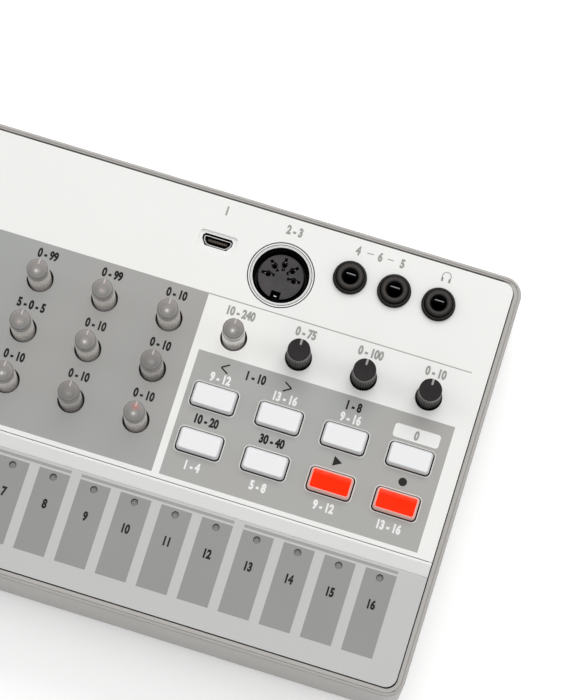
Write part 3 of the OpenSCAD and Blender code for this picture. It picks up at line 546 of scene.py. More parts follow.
def upper_case_finish():
    """White moulded case, dark where it lies in shade: inside the holes of the printed
    sheets, along the seam, in the lamp holes, down the gap to the rim and round the collar of
    the round socket. The socket's funnel and the data socket's recess stay white."""
    finish = Finish("white plastic", gloss=0.4)
    x, y, z = finish.place()
    within = abs(x).below(RIGHT_X - 1.0) * abs(y).below(REAR_Y - 1.0)
    under_panel = y.above(SEAM_Y - 0.02, 0.02) * z.below(UNDER_PANEL_Z, 0.02)
    under_keys = z.below(UNDER_KEYS_Z, 0.02)
    funnel_x, funnel_y, _, _ = middle("midi_socket_insert")
    from_funnel = length(x - funnel_x, y - funnel_y)
    near_top = z.above(PANEL_Z - 1.5)
    funnel = from_funnel.below(COLLAR_R, 0.05) * near_top
    collar_edge = span(from_funnel, COLLAR_R, COLLAR_R + 0.42, 0.04) * near_top
    socket_x, socket_y, _, _ = middle("data_socket_shell")
    recess = box_distance(x, y, socket_x, socket_y, *DATA_RECESS).below(0.0)
    recess = recess * z.above(PANEL_Z - 0.95)
    rim_gap = z.below(RIM_Z - 0.3, 0.1) * flip(within)
    shade = within * under_panel.most(under_keys) * flip(funnel.most(recess))
    shade = shade.most(collar_edge).most(rim_gap)
    tone = finish.blend(WHITE, PAINTED_SHADE, shade)
    return finish.grain(tone, 0.36, bump=0.06)


def case_finish():
    """Grey moulded case with a fine spark-eroded texture, with painted shade down the gap inside
    its rim and a painted shadow of the panel on the ledge behind it."""
    finish = Finish("grey case plastic", gloss=0.4)
    x, y, z = finish.place()
    inside = abs(x).below(RIGHT_X + 0.42, 0.02) * abs(y).below(REAR_Y + 0.42, 0.02)
    # Painted shade down the gap inside the rim
    gap = inside * z.below(RIM_Z - 0.05, 0.1) * z.above(RIM_Z - 8.0, 0.5)
    # Painted shadow of the panel on the ledge behind it
    ledge = abs(x).below(RIGHT_X - 2.0, 3.0) * span(y, REAR_Y - 1, REAR_Y + 0.98, 0.06)
    ledge = ledge * z.below(RIM_Z + 0.2)
    tone = finish.blend(CASE_GREY, PAINTED_SHADE, gap.most(ledge * 0.95))
    return finish.grain(tone, 0.46, scale=2600, uneven=0.07, bump=0.22, depth=0.03)


def dimmed(tone, share):
    """A tone with each of its parts multiplied by share."""
    return tuple(share * part for part in tone)


def clear_knob_finish(name, lens, strength, glow=0.0, clearness=1.0):
    """Smoked clear plastic: cloudy and paler on the ribbed skirt, which gets a faint painted glow
    for the light passing through it and painted shade in its grooves. The top's tone is a painted
    sheen, darker at its front and paler towards its rear, with painted shade round its edge, a thin
    painted highlight just inside that edge, and a pale pointer line at the rear edge. The small
    lens of the lamp below shows through the top as a soft spot whose brightness is a painted
    reflection, and where the lamp is lit its red glow towards the pointer is painted light. A
    duller moulding has a lower clearness."""
    skirt = dimmed((0.525, 0.49, 0.46), clearness)
    streak = dimmed((0.66, 0.62, 0.585), clearness)
    painted_groove_shade = dimmed((0.34, 0.315, 0.295), clearness)
    # A faint painted glow for the light passing through the skirt
    painted_skirt_glow = dimmed((0.9, 0.86, 0.82), clearness)
    # The top's tone, a painted sheen: darker at its front and paler towards its rear
    deep = dimmed((0.195, 0.19, 0.178), (1 + clearness) / 2)
    pale = dimmed((0.262, 0.24, 0.23), (1 + clearness) / 2)
    finish = Finish(name, rough=0.2, IOR=1.49, Coat_Weight=0.6, Coat_Roughness=0.12,
                    Transmission_Weight=0.12)
    u, v = finish.flat_place()
    z = finish.place()[2]
    reach = length(u, v)
    top = z.above(CLEAR_TOP - 3.4, 0.4)
    pointer = abs(u).below(0.17, 0.1) * v.above(1.2, 0.3) * z.above(CLEAR_TOP - 1.2, 0.3)
    cloud = noise(finish.tree, 900, 2)
    # Painted shade in the grooves between the skirt's ribs
    groove = reach.below(CLEAR_KNOB_R - 0.02, 0.12) * flip(top)
    # Painted shade round the top's edge
    edge = reach.above(2.45, 0.25) * top
    # A thin painted highlight just inside the top's edge
    painted_edge_highlight = span(reach, 2.22, 2.42, 0.12) * top
    # Painted reflection in the lamp's lens, seen through the top as a soft spot
    spot = top * strength
    from_lens = length(u, v + 0.75)
    # Painted red light that the lit lamp throws towards the pointer
    from_painted_red_glow = length(u, v - 1.2)
    tone = finish.layers(
        skirt,
        (finish.blend(deep, pale, v.above(0.3, 2.6)), top),
        (painted_groove_shade, groove * 0.7),
        (streak, cloud.above(0.58, 0.2) * flip(top) * 0.5),
        ((0.15, 0.14, 0.135), edge * 0.6),
        ((0.50, 0.48, 0.46), painted_edge_highlight * 0.16),
        ((0.42, 0.40, 0.38), from_lens.below(0.8, 1.4) * spot * 0.7),
        (lens, from_lens.below(0.3, 0.6) * spot),
        ((0.52, 0.12, 0.09), from_painted_red_glow.below(0.7, 1.3) * top * glow),
        ((0.62, 0.54, 0.5), pointer * 0.75))
    finish.feed("Base Color", tone)
    # Painted glow on the skirt, none on the top
    finish.glow(finish.blend(painted_skirt_glow, NO_LIGHT, top), 0.1)
    finish.feed("Roughness", cloud * 0.12 + 0.16)
    return finish.material


def black_knob_finish():
    """Matte black plastic with a pale pointer line that runs over the edge, and a ribbed skirt
    with a painted sheen below the top's edge and painted shade in its grooves."""
    finish = Finish("black knob plastic", gloss=0.16)
    u, v = finish.flat_place()
    z = finish.place()[2]
    on_top = z.above(BLACK_TOP - 0.75, 0.1)
    pointer = box_distance(u, v, 0.0, 3.0, *POINTER).below(0.0, 0.12) * on_top
    # Painted sheen on the upper skirt, fading out towards the panel
    painted_skirt_sheen = z.above(PANEL_Z + 7.0, 4.4) * flip(on_top)
    # Painted shade in the grooves between the ribs
    groove = length(u, v).below(BLACK_KNOB_R - 0.04, 0.1) * z.below(BLACK_TOP - 2.6, 1.5)
    tone = finish.layers(
        (0.006, 0.0058, 0.0058),
        ((0.215, 0.207, 0.2), painted_skirt_sheen),
        ((0.002, 0.002, 0.002), groove * 0.9),
        ((0.017, 0.0145, 0.0155), on_top),
        ((0.34, 0.33, 0.32), pointer))
    return finish.grain(tone, 0.42, scale=2400, uneven=0.05, bump=0.12, depth=0.02)


def white_button_finish():
    """Milky white button, a little greyer on its sides, with painted shade down in its hole."""
    finish = Finish("white button plastic", gloss=0.3)
    tone = finish.layers((0.72, 0.725, 0.73),
                         ((0.83, 0.83, 0.84), face_mask(finish)),
                         # painted shade below the panel's top
                         (PAINTED_SHADE, hole_mask(finish)))
    return finish.grain(tone, 0.35, scale=1500, uneven=0.03, bump=0.03)


def lit_button_finish():
    """Button lit red from below: a deep red face, paler along its rear edge, and sides that
    glow pink."""
    finish = Finish("red lit button plastic", gloss=0.06)
    face = face_mask(finish)
    _, v = finish.flat_place()
    rear = v.above(1.95, 1.5) * noise(finish.tree, 500, 3).above(0.3, 0.5)
    in_hole = hole_mask(finish)
    tone = finish.layers((0.76, 0.49, 0.44),
                         ((0.78, 0.020, 0.001), face),
                         ((0.66, 0.12, 0.075), face * rear * 0.8),
                         # painted shade below the panel's top
                         (PAINTED_SHADE, in_hole))
    light = finish.layers((0.22, 0.10, 0.085), ((1.0, 0.022, 0.001), face), (NO_LIGHT, in_hole))
    finish.glow(light, 0.33)
    return finish.grain(tone, 0.45, scale=1500, uneven=0.02, bump=0.03)


def hole_mask(finish):
    """1 on the part of a button that lies below the panel's top, which is painted as shade."""
    return finish.place()[2].below(PANEL_Z - 0.2, 0.12)


def face_mask(finish):
    """1 on the flat face of a button, from its own local coordinates."""
    u, v = finish.flat_place()
    high_up = finish.place()[2].above(PANEL_Z + 1.5, 0.1)
    return box_distance(u, v, 0.0, 0.0, *BUTTON_FACE).below(0.0, 0.2) * high_up


def plain_plastic(name, tint, rough, uneven=0.06, **values):
    """One tone of moulded plastic or rubber, with the shared grain."""
    return Finish(name, **values).grain(tint, rough, uneven=uneven, bump=0.08)


def metal_finish(name, tint, rough):
    """Metal, a little uneven in tone and roughness."""
    finish = Finish(name, Metallic=1.0)
    return finish.grain(tint, rough, scale=900, uneven=0.1, bump=0.03, depth=0.01)


def round_socket_finish():
    """Dark grey moulding of the round socket's insert, with painted shade down its sides and holes.
    """
    finish = Finish("round socket insert", gloss=0.3)
    face = finish.place()[2].above(PANEL_Z - 2.3, 0.1)
    smear = noise(finish.tree, 260, 3).above(0.5, 0.4)
    # Near-black painted shade down the sides and holes, with the face's own tone over it
    tone = finish.layers((0.003, 0.003, 0.003),
                         ((0.032, 0.032, 0.0325), face),
                         ((0.058, 0.050, 0.051), face * smear))
    return finish.grain(tone, 0.4, scale=1500, uneven=0.02, bump=0.08)


def surround_finish():
    """White moulding with two fine grooves running round it, with painted shade in their depth."""
    finish = Finish("socket surround", gloss=0.4)
    u, v = finish.flat_place()
    reach = length(u, v)
    # Painted shade in the two grooves
    grooves = span(reach, *INNER_GROOVE, 0.04) * 0.5 + span(reach, *OUTER_GROOVE, 0.04)
    tone = finish.blend(WHITE, (0.03, 0.028, 0.026), grooves * 0.95)
    return finish.grain(tone, 0.35, bump=0.05)


def audio_socket_finish():
    """Brown-black moulding, matt and paler round the crest of its top ring, with painted shade
    that makes it nearly black down its sides.
    """
    finish = Finish("socket plastic", gloss=0.08)
    u, v = finish.flat_place()
    z = finish.place()[2]
    reach = length(u, v)
    ring = z.above(PANEL_Z + 1.5, 0.4)
    # Paler round the crest of the top ring
    paler_crest = span(reach, 2.3, 3.15, 0.3) * z.above(PANEL_Z + 1.75, 0.3)
    foot = span(reach, 3.86, 4.2, 0.12) * z.above(PANEL_Z + 1.0, 0.2)
    # Near-black painted shade down the sides, under the ring's and the foot's tones
    tone = finish.layers((0.001, 0.001, 0.001),
                         ((0.022, 0.020, 0.0185), ring),
                         ((0.056, 0.050, 0.046), paler_crest),
                         ((0.034, 0.031, 0.029), foot))
    return finish.grain(tone, 0.45, scale=1800, uneven=0.015, bump=0.08)


def data_socket_finish():
    """Bright plated rim of the data socket, with painted shade inside its mouth."""
    finish = Finish("data socket rim", Metallic=1.0)
    rim = finish.place()[2].above(middle("data_socket_shell")[3] - 0.12, 0.06)
    # Below the rim the plated metal is painted near black as shade
    tone = finish.blend((0.01, 0.01, 0.01), (0.80, 0.80, 0.80), rim)
    return finish.grain(tone, 0.3, scale=900, uneven=0.1, bump=0.03, depth=0.01)


def tongue_finish():
    """Black tongue of the data socket with five contact strips along it."""
    finish = Finish("data socket tongue", gloss=0.3)
    x, _, _ = finish.place()
    pitch = 0.65
    along = x - middle("data_socket_tongue")[0] + pitch * 5 / 2
    across = abs(along.math("WRAP", pitch, 0.0) - pitch / 2)
    tone = finish.blend((0.016, 0.013, 0.011), (0.17, 0.135, 0.105), across.below(0.16, 0.06))
    return finish.grain(tone, 0.4, scale=2600, uneven=0.02, bump=0.05)


def lamp_finish():
    """Unlit lamp deep in its hole: painted shade round its edge, a faint pale spot in the middle.
    """
    finish = Finish("unlit lamp", gloss=0.2)
    x, y, _ = finish.place()
    reach = length(across_key(x), y - LAMPS_Y)
    # Painted shade round the lamp's edge
    tone = finish.blend((0.27, 0.265, 0.26), (0.05, 0.05, 0.05), reach.above(0.9, 0.3))
    return finish.grain(tone, 0.4, uneven=0.08, bump=0.05)


def red_display_finish(name, tint, power):
    """Red light of the display's digits, seen through the tinted window."""
    finish = Finish(name, gloss=0.1)
    finish.glow(tint, power)
    return finish.grain((0.05, 0.006, 0.005), 0.4, uneven=0.05, bump=0.02)


def board_finish():
    """Green solder resist over copper tracks: stepped bands along X and Y."""
    finish = Finish("circuit board", Coat_Weight=0.3)
    x, y, _ = finish.place()
    tracks = [abs(place.math("WRAP", pitch, 0.0) - pitch / 2).below(half_w, 0.05)
              for place, pitch, half_w in ((x, 2.4, 0.35), (y, 3.1, 0.3))]
    tone = finish.blend((0.012, 0.07, 0.03), (0.02, 0.12, 0.05), tracks[0].most(tracks[1]))
    return finish.grain(tone, 0.35, uneven=0.05, bump=0.03)


def ink(name, tint):
    """Printing ink: matt, with a very slightly broken tone."""
    finish = Finish(name, gloss=0.12)
    return finish.grain(tint, 0.5, scale=3000, uneven=0.05, bump=0.02)


FINISHES = {
    "white": upper_case_finish(),
    "panel": panel_finish(),
    "sheet": key_sheet_finish(),
    "case": case_finish(),
    "clear": clear_knob_finish("smoked clear plastic", (0.93, 0.92, 0.90), 0.8),
    "clear warm": clear_knob_finish("smoked clear plastic, warm lens", (0.62, 0.42, 0.38), 0.7),
    "clear dull": clear_knob_finish("smoked clear plastic, dull lens", (0.36, 0.36, 0.32), 0.3,
                                    clearness=0.68),
    # The lit knob's red glow on its top is painted light
    "clear lit": clear_knob_finish("smoked clear plastic, lit", (0.93, 0.88, 0.86), 0.7, glow=0.75),
    "black knob": black_knob_finish(),
    "button": white_button_finish(),
    "lit button": lit_button_finish(),
    "funnel": surround_finish(),
    # Black of the round socket's housing, and painted shade on the sleeves and walls put into the
    # socket holes
    "deep black": plain_plastic("deep black plastic and painted shade", (0.0015, 0.0015, 0.0015), 0.7, uneven=0.004,
                                gloss=0.03),
    "socket": audio_socket_finish(),
    "data socket": data_socket_finish(),
    "round socket": round_socket_finish(),
    "rubber": plain_plastic("foot rubber", (0.02, 0.02, 0.02), 0.75),
    "black": plain_plastic("black plastic", (0.008, 0.008, 0.0085), 0.5, gloss=0.2),
    "board": board_finish(),
    "plated": metal_finish("bright plated metal", (0.72, 0.72, 0.73), 0.22),
    "steel": metal_finish("screw steel", (0.35, 0.35, 0.36), 0.35),
    "cell": plain_plastic("cell sleeve", (0.45, 0.25, 0.06), 0.35),
    "lamp": lamp_finish(),
    "tongue": tongue_finish(),
    # The shield and the contacts, metal deep in the sockets, are painted near black as shade
    "dark metal": metal_finish("contact metal painted dark as shade", (0.03, 0.028, 0.026), 0.5),
    "display light": red_display_finish("lit display part", (1.0, 0.05, 0.02), 0.9),
    # The unlit parts get a faint painted glow
    "display rest": red_display_finish("unlit display part", (1.0, 0.05, 0.02), 0.03),
    "lens": plain_plastic("tinted display window", (0.012, 0.004, 0.004), 0.12, gloss=0.35),
    "ribbon": plain_plastic("flat cable", (0.6, 0.56, 0.48), 0.5),
    "pot": plain_plastic("potentiometer body", (0.012, 0.013, 0.016), 0.5, gloss=0.2),
    "dark ink": ink("dark printing ink", PRINT_DARK),
    "grey ink": ink("grey printing ink", PRINT_GREY),
    "white ink": ink("white printing ink", (0.84, 0.84, 0.83)),
}


NODES_BY_FINISH = {
    "case": ("lower_case", "battery_door"), "white": ("upper_case",), "panel": ("top_panel",),
    "sheet": ("key_sheet",), "lamp": ("indicator_lamps",), "lens": ("display_lens",),
    "data socket": ("data_socket_shell",), "tongue": ("data_socket_tongue",),
    "deep black": ("midi_socket_housing",), "round socket": ("midi_socket_insert",),
    "dark metal": ("midi_socket_shield", "socket_contacts"), "pot": ("potentiometers",),
    "board": ("main_board", "touch_board", "jack_board"), "ribbon": ("ribbon_cable",),
    "black": ("tact_switches", "board_chips", "display_module", "power_inlet", "power_switch",
              "power_button", "speaker_cone"),
    "steel": ("case_screws", "board_screws", "speaker_frame"), "rubber": ("rubber_feet",),
    "cell": ("battery_cells",), "plated": ("battery_contacts",),
}


def wear(piece, finish):
    """Gives a piece one finish in all its slots."""
    piece.data.materials.clear()
    piece.data.materials.append(finish)


def fit(piece, finish, body, node=None):
    """Gives a new piece its finish and its material slot, sets it on the body that it rides
    on and, where it stands for a node, hides that node."""
    wear(piece, finish)
    if node:
        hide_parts(node)
    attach(piece, body)


def dress_nodes():
    """Puts each carried-over node's finish into its material slots."""
    for key, nodes in NODES_BY_FINISH.items():
        for node in nodes:
            for slot in frame["nodes"][node].material_slots:
                slot.material = FINISHES[key]


# ------------------------------------------------------------------------- knobs

# The clear knobs whose lens, with its painted reflection, doesn't look plain white
LENS_LOOKS = {"pitch_decay": "clear lit", "length": "clear warm", "pan": "clear warm",
              "amp_decay": "clear dull", "level": "clear dull", "pitch_attack": "clear dull"}


def clear_knob(name):
    """A clear knob: ribbed skirt, smooth upper part with a step, softly domed top. Light
    passes through it, so it casts no hard shade."""
    node = f"knob_{name}"
    x, y, low, top = middle(node)
    r = CLEAR_KNOB_R
    skirt_top = top - 3.8
    profile = np.concatenate([
        [[KNOB_FOOT_R, low], [KNOB_FOOT_R, PANEL_Z - 2.9], [r - 0.1, PANEL_Z - 2.9]],
        [[r, z] for z in np.linspace(PANEL_Z - 2.6, skirt_top, 30)],
        [[r - 0.02, top - 3.5], [r - 0.14, top - 3.35], [r - 0.14, top - 1.0]],
        arc(r - 0.64, top - 1.0, 0.5, 0, 68, 9),
        [[q, top - 0.087 * q * q] for q in (2.2, 1.8, 1.4, 1.0, 0.6, 0.25)],
    ])
    piece = lathe(f"{node}_cap", profile, x, y, 216, (36, 0.09, PANEL_Z - 2.5, skirt_top))
    piece.visible_shadow = False
    fit(piece, FINISHES[LENS_LOOKS.get(name, "clear")], node, node)


def black_knob(name):
    """A black knob: ribbed skirt that widens downwards, smooth rounded chamfer, flat top."""
    node = f"knob_{name}"
    x, y, low, top = middle(node)
    r = BLACK_KNOB_R
    skirt = np.linspace([r, PANEL_Z - 1.9], [r - 0.14, top - 0.8], 30)
    profile = np.concatenate([
        [[KNOB_FOOT_R, low], [KNOB_FOOT_R, PANEL_Z - 2.2], [r - 0.1, PANEL_Z - 2.2]],
        skirt,
        [[2.92, top - 0.62]],
        arc(2.74, top - 0.2, 0.2, 10, 90, 5),
        [[2.3, top - 0.02], [1.2, top - 0.05], [0.3, top - 0.05]],
    ])
    piece = lathe(f"{node}_cap", profile, x, y, 240, (30, 0.13, PANEL_Z - 1.8, top - 1.2))
    fit(piece, FINISHES["black knob"], node, node)


# ----------------------------------------------------------------------- buttons

def button(node, key):
    """A button: flange, upright sides, then a short slope to a softly rounded flat face."""
    x, y, low, top = middle(node)
    w, d = BUTTON_WALLS
    taper, soft, corner = 0.56, 0.25, 1.0
    wall_top = PANEL_Z + 1.15
    levels = [(w + 1.0, d + 1.0, 0.6, low + 0.5), (w + 1.0, d + 1.0, 0.6, low + 1.2),
              (w - 0.05, d - 0.05, corner, low + 1.25), (w, d, corner, PANEL_Z - 0.3),
              (w, d, corner, wall_top - 0.15), (w - 0.06, d - 0.06, corner, wall_top)]
    for a in np.radians(np.linspace(20, 90, 6)):
        inset = taper + soft * (1 - math.cos(a)) - soft
        levels.append((w - inset, d - inset, 0.85 - inset * 0.3, top - soft + soft * math.sin(a)))
    levels.append((w - taper - 0.9, d - taper - 0.9, 0.4, top))
    piece = loft(f"{node}_cap", levels, x, y, smooth_angle=28)
    fit(piece, FINISHES[key], node, node)


# ----------------------------------------------------------------------- sockets

def audio_socket(node):
    """An audio socket: a wide foot, a groove, a doughnut-shaped top and a wide mouth over the
    bore, both lined with a thin black sleeve of painted shade. A short contact leaf crosses the
    rear of the mouth."""
    x, y, low, top = middle(node)
    bore, outer = 1.8, 4.4
    profile = np.concatenate([
        [[4.3, low], [4.3, PANEL_Z - 0.8], [outer, PANEL_Z - 0.6], [outer, PANEL_Z + 0.7]],
        arc(4.12, PANEL_Z + 0.92, 0.28, 0, 90, 5),
        [[3.82, PANEL_Z + 1.2], [3.72, PANEL_Z + 0.8], [3.6, PANEL_Z + 0.8], [3.56, PANEL_Z + 1.2]],
        arc(2.88, top - 0.68, 0.68, 0, 180, 15),
        [[2.17, top - 1.2], [bore, top - 1.5], [bore, low + 3.0], [bore, low]],
    ])
    bush = lathe(f"{node}_bush", profile, x, y, looped=True)
    fit(bush, FINISHES["socket"], "case", node)
    # A thin black sleeve down the mouth and bore, as painted shade
    lining = [[1.79, low + 0.1], [1.79, top - 1.52], [2.14, top - 1.24], [2.18, top - 0.7],
              [2.13, top - 0.7], [2.08, top - 1.26], [1.75, top - 1.54], [1.75, low + 0.1]]
    throat = lathe(f"{node}_throat", lining, x, y, looped=True)
    fit(throat, FINISHES["deep black"], "case")
    leaf = loft(f"{node}_leaf", [(1.4, 0.1, 0.08, top - 4.4), (1.4, 0.1, 0.08, top - 1.7),
                                 (1.35, 0.2, 0.12, top - 1.4), (1.1, 0.1, 0.08, top - 1.25)],
                x, y + 0.85)
    fit(leaf, FINISHES["steel"], "case")


def round_socket_trim():
    """White stepped surround of the round socket, and the bright tips of its contacts and
    of the screen in the notch."""
    x, y, _, _ = middle("midi_socket_insert")
    below_panel = np.array([0.0, PANEL_Z])
    outer_low, outer_high = OUTER_GROOVE
    inner_low, inner_high = INNER_GROOVE
    steps = [[8.6, -0.35], [8.6, -0.1], [8.54, -0.05],
             [outer_high, -0.05], [outer_high - 0.01, -0.17],
             [outer_low + 0.01, -0.17], [outer_low, -0.08],
             [inner_high, -0.1], [inner_high - 0.01, -0.22],
             [inner_low + 0.01, -0.22], [inner_low, -0.12],
             [7.56, -0.14], [7.5, -0.2], [7.5, -0.6], [7.9, -0.6]]
    surround = lathe("midi_socket_surround", steps + below_panel, x, y, 128, looped=True,
                     smooth_angle=30)
    fit(surround, FINISHES["funnel"], "case")
    # A black wall down inside the surround, as painted shade
    wall = [[7.56, -0.6], [7.4, -0.62], [7.3, -1.35], [7.3, -1.38], [7.56, -1.38]]
    well = lathe("midi_socket_well", wall + below_panel, x, y, 128, looped=True)
    fit(well, FINISHES["deep black"], "case")
    for n in range(5):
        a = math.radians(n * 45)
        for reach, size in ((2.5, 0.1), (4.3, 0.13)):
            pin = np.array([[size, -4.5], [size, -2.85], [size * 0.7, -2.75]]) + below_panel
            tip = lathe(f"midi_contact_tip_{n}_{round(reach)}", pin,
                        x + reach * math.cos(a), y + reach * math.sin(a), 16)
            fit(tip, FINISHES["plated"], "case")
    levels = [(0.6, 0.1, 0.09, PANEL_Z - 6.0), (0.6, 0.1, 0.09, PANEL_Z - 3.2),
              (0.55, 0.22, 0.15, PANEL_Z - 2.95), (0.4, 0.12, 0.1, PANEL_Z - 2.8)]
    screen = loft("midi_screen_tongue", levels, x, y - 5.25)
    fit(screen, FINISHES["plated"], "case")


def data_socket():
    """Rolled mouth of the data socket: its outline carried round a small rounded lip."""
    x, y, low, top = middle("data_socket_shell")
    outline = mouth_outline()
    inward = np.array([0.0, 0.0, 0.07, 0.17, 0.27, 0.32, 0.34, 0.34])
    height = np.array([low, top - 0.2, top - 0.06, top, top - 0.06, top - 0.2, top - 0.6,
                       low + 1.0])
    rings = np.stack([np.column_stack([shrink(outline, i) + [x, y], np.full(len(outline), z)])
                      for i, z in zip(inward, height)])
    floor_ring = rings[-1].copy()
    floor_ring[:, :2] = (floor_ring[:, :2] - [x, y]) * 0.5 + [x, y]
    mouth = skin("data_socket_mouth", np.concatenate([rings, floor_ring[None]]), smooth_angle=40)
    fit(mouth, FINISHES["data socket"], "case", "data_socket_shell")


def mouth_outline():
    """The data socket's outline: a rectangle with sloping front corners. Each corner is
    rounded by the curve (1-t)^2 start + 2 t (1-t) corner + t^2 end, with start and end at the
    radius from it on its two sides."""
    half_w, half_d, slope, radius = 3.75, 1.3, 1.15, 0.62
    corners = np.array([[half_w, half_d], [-half_w, half_d], [-half_w, 0.0],
                        [slope - half_w, -half_d], [half_w - slope, -half_d], [half_w, 0.0]])
    back = np.roll(corners, 1, axis=0) - corners
    ahead = np.roll(corners, -1, axis=0) - corners
    start = corners + back / np.linalg.norm(back, axis=1)[:, None] * radius
    end = corners + ahead / np.linalg.norm(ahead, axis=1)[:, None] * radius
    t = np.linspace(0, 1, 6)[None, :, None]
    curve = ((1 - t) ** 2 * start[:, None] + 2 * t * (1 - t) * corners[:, None]
             + t ** 2 * end[:, None])
    return curve.reshape(-1, 2)


def shrink(outline, step):
    """An outline moved inwards by step along its normals."""
    along = np.roll(outline, -1, axis=0) - np.roll(outline, 1, axis=0)
    along = along / np.linalg.norm(along, axis=1)[:, None]
    return outline + np.stack([-along[:, 1], along[:, 0]], axis=1) * step


# ---------------------------------------------------------------- printed marks

class Print:
    """Collects flat marks of one ink on one plane, and makes them one piece."""

    def __init__(self, name, finish, z, slot):
        """Starts an empty piece on the plane at height z."""
        self.name = name
        self.finish = finish
        self.z = z
        self.slot = slot
        self.points = []
        self.faces = []
        self.count = 0

    def add(self, points, faces):
        """Adds flat points and the corners of the triangles between them."""
        self.points.append(points)
        self.faces.append(faces + self.count)
        self.count += len(points)

    def polygon(self, outline):
        """A filled outline: a fan about its middle."""
        outline = np.asarray(outline, dtype=float)
        points = np.vstack([outline.mean(axis=0), outline])
        k = np.arange(1, len(points))
        faces = np.stack([np.zeros_like(k), k, np.roll(k, -1)], axis=1)
        self.add(points, faces)

    def strip(self, path, width):
        """A line of even width along a path: each point moved half the width each way
        along the path's normal."""
        path = np.asarray(path, dtype=float)
        along = np.gradient(path, axis=0)
        along /= np.linalg.norm(along, axis=1)[:, None]
        side = np.stack([-along[:, 1], along[:, 0]], axis=1) * width / 2
        points = np.vstack([path + side, path - side])
        n = len(path)
        k = np.arange(n - 1)
        left = np.stack([k, k + n, k + 1], axis=1)
        right = np.stack([k + 1, k + n, k + n + 1], axis=1)
        self.add(points, np.vstack([left, right]))

    def number(self, text, x, y):
        """Plain digits, centred on (x, y), from the built-in typeface made condensed and a
        little bolder."""
        type_height = 0.73
        height, narrow, bolder = 2.35, 0.72, 0.054
        curve = bpy.data.curves.new("digits", "FONT")
        curve.body = text
        curve.size = 1.0
        curve.offset = bolder
        curve.resolution_u = 4
        holder = bpy.data.objects.new("digits", curve)
        mesh = bpy.data.meshes.new_from_object(holder)
        co = np.empty(len(mesh.vertices) * 3)
        mesh.vertices.foreach_get("co", co)
        co = co.reshape(-1, 3)[:, :2]
        mesh.calc_loop_triangles()
        faces = np.empty(len(mesh.loop_triangles) * 3, dtype=np.int32)
        mesh.loop_triangles.foreach_get("vertices", faces)
        low, high = co.min(axis=0), co.max(axis=0)
        scale = height / type_height
        centred = (co - [(low[0] + high[0]) / 2, type_height / 2]) * [scale * narrow, scale]
        self.add(centred + [x, y], faces.reshape(-1, 3))
        bpy.data.objects.remove(holder)
        bpy.data.curves.remove(curve)
        bpy.data.meshes.remove(mesh)

    def make(self):
        """Makes the piece, which rides on the case."""
        flat = np.vstack(self.points)
        points = np.column_stack([flat, np.full(len(flat), self.z)])
        piece = mesh_object(self.name, points, np.vstack(self.faces))
        fit(piece, FINISHES[self.finish], "case")


KNOB_RANGES = {
    "start": "0 - 99", "length": "0 - 99", "high_cut": "0 - 10", "level": "0 - 10",
    "pan": "5 - 0 - 5", "amp_attack": "0 - 10", "amp_decay": "0 - 10", "speed": "0 - 99",
    "pitch_amount": "0 - 10", "pitch_attack": "0 - 10", "pitch_decay": "0 - 10",
    "tempo": "10 - 240", "swing": "0 - 75", "reverb": "0 - 100", "volume": "0 - 10",
    "select": "1 - 99", "bass": "5-0-5", "treble": "5-0-5",
}
IN_LEFT_SECTION = CLEAR_KNOBS[:-1]
PRINT_LIFT = 0.02


def print_marks():
    """All printed marks: plain numbers, arrows, the play, record and headphone signs."""
    dark, grey, white = [
        Print(f"panel_print_{tone}", f"{tone} ink", PANEL_Z + PRINT_LIFT, "white_plastic")
        for tone in ("dark", "grey", "white")]
    keys = Print("key_print_dark", "dark ink", SHEET_Z + PRINT_LIFT, "key_grey")
    for name, text in KNOB_RANGES.items():
        x, y, _, _ = middle(f"knob_{name}")
        rise = 7.0 if name in ("amp_decay", "pitch_decay") else 6.9
        batch = dark if name in IN_LEFT_SECTION else grey
        batch.number(text, x, y + rise)
    button_marks(dark, grey, white)
    socket_marks(grey)
    for n in range(16):
        keys.number(str(n + 1), (n - 7.5) * KEY_PITCH, KEY_TOP - 8.8)
    for batch in (dark, grey, white, keys):
        batch.make()


def button_marks(dark, grey, white):
    """Number ranges over, between and under the two rows of buttons, the arrows over the
    first two, and the play and record signs."""
    columns = [middle(f"button_{n}")[0] for n in (1, 2, 3, 4)]
    upper_y = middle("button_1")[1]
    lower_y = middle("button_play")[1]
    half_row = (upper_y - lower_y) / 2
    arrows_x = (columns[0] + columns[1]) / 2
    arrows_y = upper_y + 8.5
    white.number("9 - 12", columns[0], upper_y + 5.6)
    white.number("13 - 16", columns[1], upper_y + 5.6)
    dark.number("1 - 8", columns[2], upper_y + 8.9)
    white.number("9 - 16", columns[2], upper_y + 5.6)
    grey.number("0", columns[3], upper_y + SHIFT_PLATE_RISE)
    dark.number("10 - 20", columns[0], upper_y - half_row)
    dark.number("30 - 40", columns[1], upper_y - half_row)
    for n, text in enumerate(("1 - 4", "5 - 8", "9 - 12", "13 - 16")):
        white.number(text, columns[0] + n * COL_PITCH, lower_y - half_row)
    dark.number("1 - 10", arrows_x, arrows_y)
    sign_y = upper_y - half_row - 0.2
    play_x = middle("button_play")[0]
    dark.polygon([[play_x - 1.0, sign_y - 1.35], [play_x + 1.35, sign_y],
                  [play_x - 1.0, sign_y + 1.35]])
    turn = np.linspace(0, 2 * math.pi, 40, endpoint=False)
    dot = 1.12 * np.column_stack([np.cos(turn), np.sin(turn)])
    dark.polygon(dot + [middle("button_record")[0], sign_y])
    for x, side in ((columns[0] + 0.3, -1), (columns[1] - 0.3, 1)):
        tip = np.array([x + side * 1.0, arrows_y])
        for rise in (-1, 1):
            tail = tip + [-side * 2.0, rise * 1.25]
            dark.strip(np.linspace(tail, tip, 3), 0.4)


